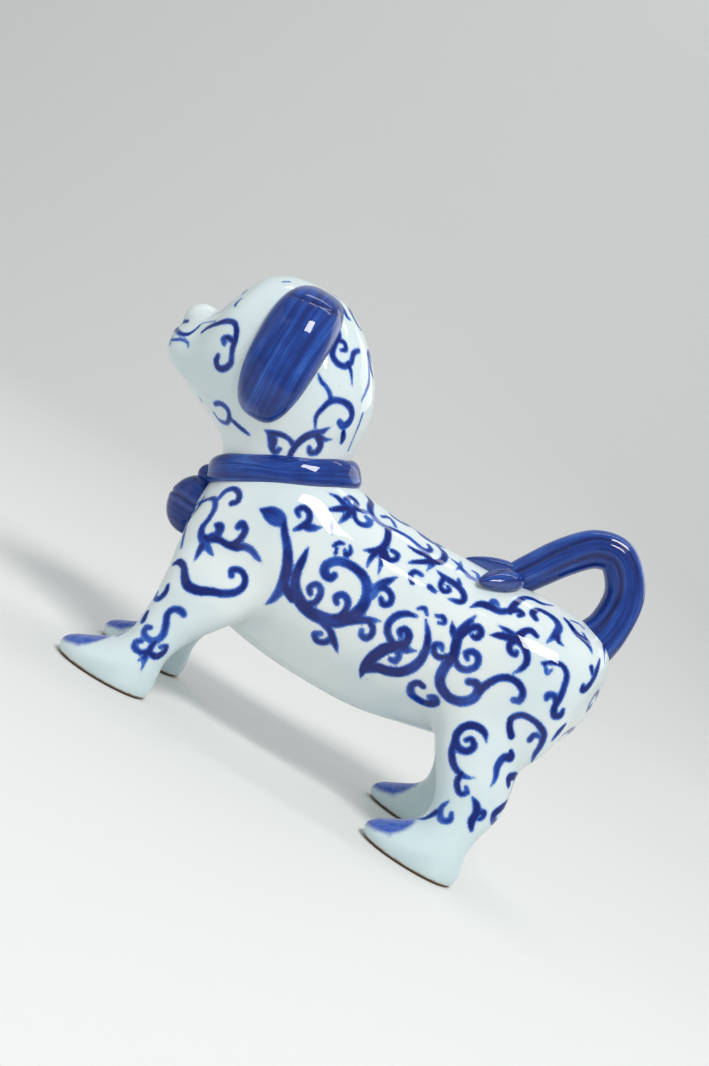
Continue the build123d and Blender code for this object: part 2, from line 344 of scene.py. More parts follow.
# %% Surface nets
EDGES = [(a, b) for a in np.ndindex(2, 2, 2) for b in np.ndindex(2, 2, 2)
         if sum(b) - sum(a) == 1 and all(q >= p for p, q in zip(a, b))]


def net(field):
    """Points and four-sided faces on the zero surface of a field on the block."""
    inside = field < 0
    cells = tuple(n - 1 for n in field.shape)
    count = np.zeros(cells, np.uint8)
    for corner in np.ndindex(2, 2, 2):
        count += inside[tuple(slice(c, c + n) for c, n in zip(corner, cells))]
    cut = np.argwhere((count > 0) & (count < 8))
    number = np.full(cells, -1, np.int32)
    number[tuple(cut.T)] = np.arange(len(cut))
    corner_value = {c: field[tuple((cut + c).T)] for c in np.ndindex(2, 2, 2)}
    total, crossings = np.zeros((len(cut), 3)), np.zeros(len(cut))
    for a, b in EDGES:
        va, vb = corner_value[a], corner_value[b]
        crossed = (va < 0) != (vb < 0)
        t = np.where(crossed, va / np.where(crossed, va - vb, 1), 0)[:, None]
        total += np.where(crossed[:, None], np.array(a) + t * (np.array(b) - np.array(a)), 0)
        crossings += crossed
    points = (cut + total / crossings[:, None]) * CUBE + BLOCK_LOW
    faces = []
    for axis in range(3):
        u, v = (axis + 1) % 3, (axis + 2) % 3
        step = np.eye(3, dtype=int)
        here = inside[tuple(slice(None, -1) if k == axis else slice(1, -1) for k in range(3))]
        there = inside[tuple(slice(1, None) if k == axis else slice(1, -1) for k in range(3))]
        for first, flip in ((here & ~there, False), (there & ~here, True)):
            at = np.argwhere(first) + (1 - step[axis])
            ring = [at - step[u] - step[v], at - step[v], at, at - step[u]]
            quad = np.stack([number[tuple(r.T)] for r in ring], 1)
            faces.append(quad[:, ::-1] if flip else quad)
    return points, np.concatenate(faces)


def even_out(field, points, faces, rounds):
    """Moves each point towards the mean of its neighbours, but only along the surface."""
    a = faces.ravel()
    b = np.roll(faces, -1, axis=1).ravel()
    links = np.concatenate([a, b]), np.concatenate([b, a])
    degree = np.bincount(links[0], minlength=len(points))[:, None]
    for _ in range(rounds):
        total = np.stack([np.bincount(links[0], points[links[1], k], len(points)) for k in range(3)], 1)
        pull = total / degree - points
        normal = slope(field, points)
        points = points + 0.6 * (pull - np.sum(pull * normal, 1, keepdims=True) * normal)
        points = settle(field, points, 1)
    return points


points, faces = net(skin_field)
points = even_out(skin_field, points, faces, 4)
normals = slope(skin_field, points)
print("skin points and faces:", len(points), len(faces), "lowest, mm:", points[:, 2].min().round(2))
print("skin box, mm:", points.min(0).round(1), points.max(0).round(1))

# %% [markdown]
# ### One net, seven clay pieces
#
# The real pieces are separate lumps, so the net is cut where one lump's field takes over from the
# next. Neighbours keep the same points and the same normals along the cut, so the glaze runs on
# without a seam. Each cut is then closed with a fan of triangles to a point in its middle.

# %% Cutting the net
def owner_of(places):
    """The number of the lump that a place belongs to, from the block of owners."""
    grid = np.rint((places - BLOCK_LOW) / (2 * CUBE)).astype(int)
    return owner[tuple(np.clip(grid, 0, np.array(owner.shape) - 1).T)]


def cap(faces, places):
    """Closes each cut of a piece with a fan of triangles to a point in the middle of that cut.

    The cut's edges are those with a face on one side only. Edges that touch get the same label, the
    lowest number along their loop, and each label is one loop.
    """
    a, b = faces.ravel(), np.roll(faces, -1, axis=1).ravel()
    size = len(places)
    one_sided = ~np.isin(a * size + b, b * size + a)
    a, b = a[one_sided], b[one_sided]
    label = np.arange(size)
    settled = False
    while not settled:
        low = np.minimum(label[a], label[b])
        lower = label.copy()
        np.minimum.at(lower, a, low)
        np.minimum.at(lower, b, low)
        lower = lower[lower]
        settled = bool((lower == label).all())
        label = lower
    loop = np.unique(label[a], return_inverse=True)[1]
    edges = np.bincount(loop)
    middles = np.stack([np.bincount(loop, places[a, k]) / edges for k in range(3)], 1)
    return np.stack([b, a, size + loop], 1), middles


def make_mesh(name, places, faces, directions=None, attributes=None):
    """A smooth-shaded object from drawn millimetres. Attributes are numbers or triples, one a point.

    faces is a list of whole arrays, each with three or four corners a face.
    """
    mesh = bpy.data.meshes.new(name)
    faces = [block for block in faces if len(block)]
    corners = np.concatenate([block.ravel() for block in faces])
    sizes = np.concatenate([np.full(len(block), block.shape[1]) for block in faces])
    mesh.vertices.add(len(places))
    mesh.vertices.foreach_set("co", (places * RULER).astype(np.float32).ravel())
    mesh.loops.add(len(corners))
    mesh.loops.foreach_set("vertex_index", corners.astype(np.int32))
    mesh.polygons.add(len(sizes))
    mesh.polygons.foreach_set("loop_start", (np.cumsum(sizes) - sizes).astype(np.int32))
    mesh.update(calc_edges=True)
    mesh.validate(clean_customdata=False)
    mesh.polygons.foreach_set("use_smooth", np.ones(len(mesh.polygons), bool))
    for key, values in (attributes or {}).items():
        kind, field_name = ("FLOAT_VECTOR", "vector") if values.ndim == 2 else ("FLOAT", "value")
        layer = mesh.attributes.new(key, kind, "POINT")
        layer.data.foreach_set(field_name, values.astype(np.float32).ravel())
    if directions is not None:
        mesh.normals_split_custom_set_from_vertices(directions.tolist())
    piece = bpy.data.objects.new(name, mesh)
    bpy.context.scene.collection.objects.link(piece)
    return piece


def part_of_net(number):
    """Faces and points of one lump, renumbered, with the row of each point in the whole net."""
    own = faces[face_owner == number]
    used, renumbered = np.unique(own, return_inverse=True)
    return renumbered.reshape(own.shape), used


face_owner = owner_of(points[faces].mean(1))
for number, name in enumerate(PIECE_NAMES):
    print(name, "faces:", int((face_owner == number).sum()))

# %% [markdown]
# ## The brushwork
#
# A painter loads a pointed brush with cobalt and draws each scroll in one pull: the brush is pressed
# for the fat middle and lifted for the tip. So a stroke here is a short list of given points,
# each with the half width of the brush there, in millimetres.
#
# The strokes are drawn flat, on sheets held beside the dog, and thrown on to the skin from an eye half
# a metre away, as a slide is projected. On the skin they are lines in space, so a stroke keeps its
# width where the skin turns away. The right side has the same scrolls as the left, mirrored.

# %% Sheets and how a stroke lands on the skin
EYE = np.array([13.0, -520.0, 106.0])
SHEETS = {
    "left": (EYE, lambda a, b: (a + 0.5, -30.0 + 0 * a, b + 0.7), (0.93, 1.06)),
    "front": (np.array([-520.0, 0.0, 100.0]), lambda a, b: (-80.0 + 0 * a, a, b), (0.93, 1.2)),
    "top": (np.array([0.0, 0.0, 620.0]), lambda a, b: (a, b, 100.0 + 0 * a), (0.86, 1.22)),
    "rear": (np.array([520.0, 0.0, 100.0]), lambda a, b: (95.0 + 0 * a, a, b), (0.97, 1.32)),
}


RAY_STEPS = 260
LARGEST_MISS = 1.5     # a ray that passes the skin further off than this is dropped


def throw(stroke, sheet):
    """Lands a stroke on the skin: for each point the first place where its ray meets the surface.

    The ray runs from the eye through the point on the sheet. The field is read at even steps along it,
    and the meeting is where it first turns negative. A ray that just misses the skin lands where it
    comes closest. Gives places and half widths.
    """
    eye, to_sheet, (near, far) = SHEETS[sheet]
    dense = curve(stroke, 10)
    through = np.stack(to_sheet(dense[:, 0], dense[:, 1]), 1)
    steps = np.linspace(near, far, RAY_STEPS)
    rays = eye + (through - eye)[:, None, :] * steps[None, :, None]
    value = probe(skin_field, rays.reshape(-1, 3)).reshape(len(dense), -1)
    hit = (value[:, 1:] < 0) & (value[:, :-1] >= 0)
    first = hit.argmax(1)
    rows = np.arange(len(dense))
    before, after = value[rows, first], value[rows, first + 1]
    t = np.clip(before / np.where(before == after, 1, before - after), 0, 1)
    where = steps[first] + t * (steps[1] - steps[0])
    places = eye + (through - eye) * where[:, None]
    passed = ~hit.any(1)
    closest = eye + (through - eye) * steps[value.argmin(1)][:, None]
    places[passed] = settle(skin_field, closest[passed], 4)
    sight = places - eye
    facing = np.abs(np.sum(slope(skin_field, places) * sight, 1)) / np.linalg.norm(sight, axis=1)
    width = dense[:, 2] / np.sqrt(np.clip(facing, 0.7, 1))
    good = value.min(1) < LARGEST_MISS
    return places[good], np.maximum(width[good], 0.15)


INK_REACH = 4.0     # skin further than this from every stroke doesn't feel them


class Brush:
    """Keeps, for each point of the skin, its distance to the nearest stroke's edge, and how it was hit.

    ink is that distance in millimetres, negative under the paint. along is the way run along the
    stroke, across the side of the stroke from -1 to 1, and load how much pigment the brush held.
    """

    def __init__(self, places, seed):
        self.places = places
        self.ink = np.full(len(places), INK_REACH)
        self.run = np.zeros((len(places), 3))
        self.random = np.random.default_rng(seed)

    def pull(self, line, width):
        """Lays one stroke: every skin point near it learns its distance to the stroke's edge."""
        if len(line) < 2:
            return
        steps = np.linalg.norm(np.diff(line, axis=0), axis=1)
        way = np.concatenate([[0], np.cumsum(steps)])
        load = self.random.uniform(0.55, 1.0)
        beat = np.sin(way / 3.0 + self.random.uniform(0, tau))
        fade = load * (1 - 0.35 * way / max(way[-1], 1e-6)) + 0.12 * beat
        margin = width.max() + INK_REACH
        low, high = line.min(0) - margin, line.max(0) + margin
        near = np.flatnonzero(np.all((self.places > low) & (self.places < high), 1))
        if not len(near):
            return
        off = self.places[near][:, None, :] - line[None]
        edge = np.linalg.norm(off, axis=2) - width
        nearest = edge.argmin(1)
        rows = np.arange(len(near))
        distance = edge[rows, nearest]
        better = distance < self.ink[near]
        chosen, rows, nearest = near[better], rows[better], nearest[better]
        self.ink[chosen] = distance[better]
        start = self.random.uniform(0, 100)
        tangent = np.gradient(line, axis=0)
        tangent /= np.maximum(np.linalg.norm(tangent, axis=1, keepdims=True), 1e-9)
        gap = off[rows, nearest]
        lateral = np.linalg.norm(np.cross(tangent[nearest], gap), axis=1) / width[nearest]
        turn = np.sign(np.cross(tangent[nearest], gap)[:, 1] + 1e-9)
        self.run[chosen] = np.stack([start + way[nearest], turn * np.minimum(lateral, 1.2), fade[nearest]], 1)


# %% [markdown]
# ### The scrolls
#
# Read each list as a pull of the brush: place along the dog, height, half width.

# %% Scrolls on the flank
FLANK = [
    # the great scroll behind the shoulder, with its two inner curls
    [(-16, 75.5, .5), (-15.4, 71, 1.5), (-14.9, 66, 1.8), (-13, 61.5, 2.1), (-9.5, 58.2, 2.4),
     (-5, 56.4, 2.5), (0, 56.4, 2.6), (5, 57.6, 2.6), (8.7, 60.6, 2.5), (11.1, 65, 2.4), (11.3, 70, 2.2),
     (9.3, 74.5, 2), (5.5, 77.3, 1.9), (0, 78, 1.8), (-4.6, 76.8, 1.8), (-7.2, 73.5, 1.8),
     (-6.2, 70.7, 1.8), (-3.8, 70.3, 1.7), (-2.8, 72, 1.4)],
    [(-17.5, 61, 1.2), (-15, 58.8, 1.8), (-11.5, 56.8, 1.6)],
    [(-6, 58, 1.3), (-3.9, 60, 1.3), (-3.5, 63, 1.4), (-4.6, 65.4, 1.3), (-6.8, 65.8, 1.3),
     (-8.2, 63.6, 1.3), (-6.9, 61.9, 1.2)],
    [(4, 58.5, 1.3), (6.3, 60.6, 1.4), (7, 63.6, 1.4), (6, 66.6, 1.4), (3.4, 67.6, 1.4),
     (1.6, 65.6, 1.4), (3, 63.9, 1.2)],
    # its leaf and stem on the shoulder
    [(-38, 78.5, .3), (-35.3, 78.8, 1.9), (-32.6, 79, 3.3), (-30.4, 79, 3), (-28.6, 79.6, 1)],
    [(-29, 80.6, .8), (-26.3, 76.3, 1.5), (-22.5, 72, 1.8), (-19.4, 67, 2.1), (-17.5, 62, 2.2),
     (-16.8, 57, 1.8), (-17.4, 53, 1.2), (-18.6, 50.3, .3)],
    [(-23.6, 78.3, .7), (-21.8, 80.8, 1.3), (-20.7, 83.8, 1.4), (-22, 86.4, 1.3), (-24.7, 86.9, 1.3),
     (-26.2, 84.9, 1.2), (-24.6, 83.6, 1)],
    [(-21.6, 81, 1.1), (-18.6, 82.2, 1.6), (-15.5, 84.3, .3)],
    # curls and leaves behind and under the great scroll
    [(16.6, 83, .4), (14.3, 79.6, 1.5), (12.6, 76.4, 1.8), (12.2, 72.5, 1.6)],
    [(12.4, 75.6, 1.2), (15.4, 77.4, 1.3), (18.4, 76.2, 1.3), (19.2, 73.6, 1.3), (17.4, 72, 1.3),
     (15.7, 73.3, 1.2)],
    [(9, 60, 1.8), (12, 62.2, 1.7), (16, 64.7, 1.4), (19.8, 66.6, .3)],
    [(15.4, 64.4, 1.2), (18.2, 63.3, 1.3), (19.4, 60.9, 1.3), (18.4, 58.6, 1.4), (16.4, 58.7, 1.3),
     (15.6, 60.3, 1)],
    [(2.5, 54.8, 1), (6, 54.2, 1.4), (8.7, 52, 1.5), (10.8, 50.3, 1), (12.3, 48.8, .3)],
    [(8, 52.6, 1.3), (6.6, 49.8, 1.3), (3.9, 48.7, 1.3), (2, 50.2, 1.3), (3.6, 51.6, 1.1)],
    # the drop-shaped scroll in the middle of the barrel
    [(24, 45.4, .3), (23.2, 49, 1.6), (23.9, 53.8, 2.2), (26, 58.6, 2.3), (29, 61.6, 2.1),
     (31.2, 64.2, 1.8), (31, 67.2, 1.6), (28.9, 68.5, 1.5), (27.4, 67, 1.4), (28.6, 65.6, 1.1)],
    [(24.2, 49, 1.5), (27.2, 51.6, 2), (31, 52.6, 2), (35, 54.6, 2), (38, 58.5, 2), (39, 63, 1.8),
     (38.3, 67.6, 1.6), (36.2, 71.6, 1.2), (33, 75.4, .4)],
    [(30, 74.6, .6), (26.4, 73.6, 1.3), (23.5, 71, 1.5), (22.6, 67.6, 1.5), (23.6, 64.6, 1.5),
     (26, 62.8, 1.4), (28.6, 61.8, 1.4)],
    [(29, 61.8, 1.5), (32.4, 62.3, 1.5), (36.4, 64.2, .3)],
    [(29.4, 61, 1.3), (31.6, 59.3, 1.3), (31.4, 57, 1.3), (29.7, 56.6, 1.1)],
    [(28.6, 77, .6), (30.6, 78.5, 1), (32.6, 77, .7)],
    [(35.5, 78.3, .7), (38, 79.2, 1.1), (39.3, 77.6, 1), (37.6, 76.6, .7)],
    # the S-shaped scroll over the loins
    [(47.6, 85.6, .4), (46.6, 81.5, 1.5), (45.9, 77, 1.9), (47, 73, 2), (48.2, 69, 2), (47.6, 64.5, 2),
     (48.2, 60, 2), (50.7, 57.2, 2), (54.6, 55.9, 1.9), (59, 56.9, 1.9), (61.9, 60, 1.9),
     (62, 63.3, 1.8), (59.9, 65.2, 1.6), (57.5, 64.2, 1.5)],
    [(62.2, 61.8, 1.7), (63.2, 66, 1.6), (65.7, 70.5, 1.5), (69.2, 72.8, 1.5), (73, 72.8, 1.5),
     (75.9, 70.8, 1.4), (76.3, 68, 1.5), (74.5, 66.9, 1.3)],
    [(46.8, 77, 1.4), (48.2, 80.5, 1.4), (50.3, 82.6, 1.5), (52.3, 81.4, 1.5), (52, 79.2, 1.4),
     (50.4, 78.8, 1.1)],
    [(41.4, 79.6, .3), (43.6, 76.8, 1.5), (46, 75.4, 1.7)],
    [(49.5, 68.4, 1.2), (52, 66.9, 1.4), (55, 67.6, 1.4), (56.9, 70.5, 1.4), (56, 73.4, 1.4),
     (53.4, 74.2, 1.4), (51.6, 72.4, 1.3), (53, 70.9, 1)],
    [(46.6, 68.2, 1.2), (44.2, 66.2, 1.3), (41.7, 66.8, 1.3), (40.5, 69, 1.3), (42.3, 70.4, 1.2),
     (43.6, 69.2, .9)],
    [(44.6, 54.4, 1.2), (42.4, 54.6, 1.3), (40.9, 52.6, 1.4), (42.2, 50.1, 1.5), (45.5, 49.5, 1.4),
     (49, 50, 1.5), (51.3, 52, 1.6), (50, 53, 1.4), (48.4, 52.3, 1)],
    # leaves and curls under the tail and on the thigh
    [(69.6, 90.6, 1.1), (67, 91.2, 1.3), (65, 89.5, 1.4), (64.2, 86.4, 1.9), (63, 83.5, 1.4),
     (64.4, 81.2, 1.3), (66.6, 81, 1.2), (66.6, 82.4, .8)],
    [(56, 86.8, .3), (60, 86.9, 1.1), (64, 86.6, 1.3)],
    [(55.5, 82.4, .4), (58.5, 84, 1.4), (62, 85.1, 1.6), (65.6, 85.6, 1.5), (69, 84.3, 1.5),
     (71.4, 81, 1.4), (71, 77.6, 1.1), (69.3, 74.8, .3)],
    [(76.6, 83.4, .9), (79.6, 85.6, 1), (83, 86.3, 1.1), (85.9, 84.3, 1.2), (87.2, 80.5, 1.3),
     (88, 76, 1.4), (88.1, 72.2, 1.4), (89.5, 69.7, 1.4), (91.3, 70.8, 1.3), (91.2, 73, .9)],
    [(87.7, 73.8, 1.2), (86, 75.7, 1.3), (83.9, 74.6, 1.4), (84.2, 73.2, 1)],
    [(77.8, 83, .7), (79.6, 81.2, .8), (80.4, 83, .6)],
    [(80.3, 55.6, 1.5), (78.2, 58, 1.3), (77.2, 61, 1.3), (79.6, 63.8, 1.3), (83.5, 64.4, 1.2),
     (87, 63.8, 1.3), (89.9, 62, 1.3), (90.9, 58, 1.2), (90.8, 54.4, 1), (91.5, 51, .3)],
    [(86.6, 57.8, 1.2), (87.1, 60, 1.2), (89, 60.6, .9)],
    [(94.5, 69, .6), (93.9, 65.6, 1), (93.5, 62, .5)],
    [(83.2, 50.6, 1.1), (84.2, 49, 1.5), (82, 47.4, 1.4), (81.8, 43.6, 1.4), (83.2, 40, 1),
     (83.5, 36.4, .3)],
    [(88.5, 40.3, 1.2), (87.4, 42.3, 1.4), (88.8, 44, 1.4), (90.8, 42.8, 1.4), (91.5, 39.8, 1.4),
     (91.6, 36, 1.3), (90.7, 32, 1.4), (89.6, 28.6, 1.4), (90.9, 26.2, 1.3), (93.2, 27.2, 1.1),
     (93.8, 31, .9), (92.8, 34.6, .5)],
    [(80, 29.6, .6), (82.5, 28.1, 1.5), (84, 25.5, 1.6), (84.1, 22.2, 1.6), (85.6, 19.6, .9)],
    [(84, 26, 1.2), (86.3, 27.2, 1.1), (86.5, 25, 1), (85.2, 23.8, .7)],
]

# %% Scrolls on the back, the chest and the front leg
BACK = [
    [(-13.4, 97.2, 1), (-12, 98.8, 1), (-9.6, 98.3, 1.1), (-8.8, 96.6, 1.1), (-10.4, 95.9, 1.2),
     (-11.8, 96.9, .9)],
    [(-19.5, 96, .3), (-16, 96.3, 1), (-12.5, 95.4, 1.4)],
    [(-16, 91.4, .9), (-13, 93.5, 1.4), (-10.3, 95.6, 1.4)],
    [(-11, 88.5, .3), (-10.2, 91.5, 1.2), (-9.2, 95, 1.4)],
    [(-9, 95.4, 1.2), (-7, 93.2, 1), (-4.4, 92.4, 1.1), (-2.1, 93.3, 1.2), (-1.8, 95, 1.1),
     (-3.8, 95.6, .9)],
    [(-9.5, 96, 1.1), (-6, 96.8, 1), (-3.6, 97.4, .8)],
    [(-12, 104, .6), (-8.5, 102.5, .9), (-5.3, 101.2, 1.2), (-4.1, 98.8, 1.3), (-1.4, 96.9, 1),
     (3, 96.3, .9), (8, 97, .9), (13, 97.2, .9), (17.5, 96.4, 1), (20.6, 96.3, 1.1), (21.8, 97.6, 1),
     (20.3, 98.5, .8)],
    [(14.5, 94.5, .5), (18, 94.4, 1), (21.5, 95, 1.3), (24.6, 94.3, 1.3), (27.3, 96, 1.3),
     (26.9, 98.6, 1.2), (24, 99.7, .9), (18.5, 100.4, .7), (12, 100.9, .6), (5, 101.3, .4)],
    [(24.5, 94.3, 1.3), (21.6, 92.3, 1.1), (18.9, 90.6, .9), (17.3, 89.2, .3)],
    [(25, 93.5, 1.1), (24.5, 90.4, .3)],
    [(1, 98.6, .7), (2.8, 99.6, .8), (5.2, 99.1, .8), (7, 98, .6)],
    [(5, 96.2, 1.2), (6.7, 93, 1.3), (7, 90, 1.5), (6, 87.6, 1.6), (4, 86.3, 1.2), (1.4, 85, .3)],
    [(6, 88, 1.4), (5.2, 84, 1.1), (5.5, 80.4, .4)],
    [(7.5, 88, 1.4), (9.1, 84.5, 1), (10.5, 80, .3)],
    [(8, 88.4, 1.4), (10.5, 86.8, 1.2), (12.9, 87.9, 1.1), (12.6, 89.9, 1.1), (10.2, 90.1, 1)],
    [(-13.6, 88.6, .3), (-12.6, 86.3, .9), (-11, 84.3, .4)],
    [(-8.5, 80.8, .8), (-7.5, 82.6, 1), (-5.8, 83.4, .7)],
    [(-6.5, 79, .9), (-7, 80.6, .8)],
    [(-4.2, 81.6, .8), (-3, 80.2, 1.1), (-2.2, 82, 1), (-3.4, 83.8, .7)],
    [(22.3, 84, 1), (20.3, 86, 1.1), (21.2, 88, 1.1), (23.6, 88.1, 1)],
    [(28.3, 86, 1.2), (30.6, 85.5, 1)],
    [(27.5, 92.3, .3), (31, 91.6, 1.2), (35, 91.5, 1.4), (38.5, 90.8, 1.3), (40.9, 88.9, 1.2),
     (40.4, 87, 1.2), (38.3, 86.3, 1), (36, 85.8, .3)],
    [(35.5, 94, .3), (36.6, 92.3, 1.2)],
    [(31, 91, 1.1), (31.2, 88.4, 1), (33.2, 87.2, 1.1), (34.9, 88.4, 1), (33.8, 89.4, .8)],
    [(29.5, 98.5, .3), (33, 98, .8), (36, 96.9, .9), (39, 96.4, .9), (41.8, 97, .8), (40.6, 98.5, .7),
     (38.6, 98.7, .5)],
    [(33, 99.5, .3), (34, 97.5, .8), (33, 95.8, .3)],
    [(44.3, 87, .3), (46.6, 89.9, 1.3), (50, 91, 1.6), (54, 91.4, 1.4), (57, 93.4, 1.3),
     (59.2, 94.9, 1.2), (61.3, 94.8, 1.1), (60.6, 93.5, .9)],
    [(50, 91.5, 1.2), (50.6, 93.4, 1.2), (52.2, 93, .8)],
    [(57, 93, 1.3), (57.3, 96.5, 1.2), (58.8, 99.8, 1), (61.6, 101.1, 1), (65, 101.4, .9),
     (69, 102.8, .4)],
    [(66.3, 95.6, 1.1), (64.3, 96.8, 1.3), (65.2, 98.8, 1), (68, 99.3, 1.1), (72, 99, 1.3),
     (74.8, 97.4, 1.4), (75, 94.4, 1.3), (74, 90.5, .4)],
    [(75.4, 95, 1.2), (77.2, 93, 1), (79.6, 92.6, .3)],
    [(75, 101, .7), (77.5, 100.2, 1), (81, 98.7, 1.2), (85, 98, 1.2), (88, 96.7, .8), (89.6, 95.4, .3)],
    [(77, 101.5, .4), (80, 102, .6), (82.5, 101.5, .4)],
    [(83, 100, .5), (86.5, 98, .8)],
    [(90, 102.3, .9), (91.6, 100, 1), (93.4, 97.4, .8), (95, 94.8, .3)],
    [(93, 95, .5), (94, 91.5, 1.1), (94.6, 88, 1.1), (94.3, 84, 1.2), (93.2, 82.5, 1.1),
     (92.7, 84.2, .8)],
    [(92, 91, 1.1), (93.6, 89, .8)],
]
CHEST = [
    [(-47.6, 75, 1.2), (-46.2, 76.8, 1.2), (-47, 79.3, 1.1), (-49.6, 79.9, 1.1), (-51.8, 77.5, 1.2),
     (-52.6, 73.5, .8)],
    [(-57.5, 68.5, .7), (-56, 71.5, .9), (-53.8, 73.1, 1.1), (-52, 70.5, 1.1), (-51.8, 66, 1),
     (-52.2, 62, 1.2), (-50.5, 59, 1.6), (-47.5, 57.3, 1.6), (-44, 55.6, .5)],
    [(-48.5, 65.5, .9), (-46.8, 65.6, 1.8), (-46.3, 63, 1.5), (-47.8, 60.4, 1.7), (-48.8, 57, 1.5),
     (-48.7, 53.5, 1), (-48.5, 50.5, .3)],
    [(-49, 59.5, 1.6), (-45, 61.4, 1.4), (-41, 61.7, 1.4), (-39, 63.6, 1.4), (-38.3, 66.5, 1.3),
     (-38.6, 69.5, 1.4), (-40.6, 70.6, 1.6), (-41.4, 68.8, 1.2)],
    [(-41, 61.4, 1.3), (-38, 62.3, 1.5), (-36, 63.9, 1.5), (-33, 64.3, 1.4), (-30, 63.2, 1.1),
     (-27.5, 62.5, .3)],
    [(-54.5, 45.5, .7), (-53, 47.4, 1.2), (-50.6, 46.5, 1.3), (-48.5, 43.6, 1.6), (-46, 41.6, 1.9),
     (-42, 42, 1.9), (-38, 44, 1.7), (-34, 45.6, 1.6), (-30.5, 48, 1.5), (-28.7, 51.5, 1.4),
     (-29.8, 54.7, 1.3), (-32.6, 56, 1.3), (-35.1, 54.7, 1.4), (-34.4, 52.8, 1.3)],
    [(-57.5, 70, .4), (-58.5, 66, .8), (-57, 58, .8), (-55, 52, .5)],
    [(-52.2, 38, .8), (-51.7, 35.5, 1.1), (-52.4, 32.4, 1.1), (-53.8, 31.8, 1), (-54.2, 33.8, .7)],
    [(-42, 32, 1.3), (-43.6, 32.6, 1.5), (-46.1, 31.6, 1.3), (-47, 29, 1.3), (-45.6, 25.5, 1.4),
     (-44.6, 22, 1.4), (-45.6, 19, 1.3), (-48.1, 17.8, 1.2), (-50.6, 18.6, 1.2), (-51.2, 20.8, 1.2),
     (-49.8, 21.7, 1)],
    [(-45.8, 18.5, 1), (-46, 14.5, 1.2), (-46.3, 11.4, 1), (-47.4, 9.2, .4)],
    [(-45.8, 12.4, 1.1), (-44.8, 6.8, .3)],
    [(-46.5, 13.4, 1.2), (-48.6, 12.2, 1.2), (-50.9, 12.6, 1.3), (-51.7, 14.6, 1.2), (-50.2, 15.9, 1.1)],
    [(-45.3, 13.8, 1.2), (-42.9, 13.8, 1.3), (-41.2, 16, 1.2), (-41.4, 18.8, 1), (-43.2, 17.6, .8)],
    [(-53.7, 25.5, 1.1), (-53.4, 22.5, 1.2)],
    [(-54.8, 25, .6), (-55.2, 20, .9), (-56.5, 16, .9), (-58.5, 13, .7)],
    # on the thigh and the hind foot
    [(74, 49, .3), (71.6, 51.6, 1.4), (67.6, 52, 1.6), (64.4, 49.6, 1.6), (63.6, 45.6, 1.6),
     (66, 42.4, 1.6), (69.6, 42.6, 1.5), (71, 45.4, 1.4), (69, 47.2, 1.3), (67.4, 46, 1.1)],
    [(64, 44, 1.4), (65.4, 39.4, 1.5), (69, 35.6, 1.4), (73.6, 34.6, 1), (77, 36, .3)],
    [(72, 34.8, 1.2), (72.6, 31, 1.3), (75.4, 28.6, 1.2), (77.4, 30.2, 1), (76, 31.6, .8)],
    [(73.4, 24, .5), (72.4, 20.4, 1.2), (74.4, 17.2, 1.3), (77.2, 18.4, 1.2), (76.6, 20.8, 1)],
    [(71.6, 18.4, 1.2), (69.4, 14.6, .9), (66, 12.4, .3)],
]

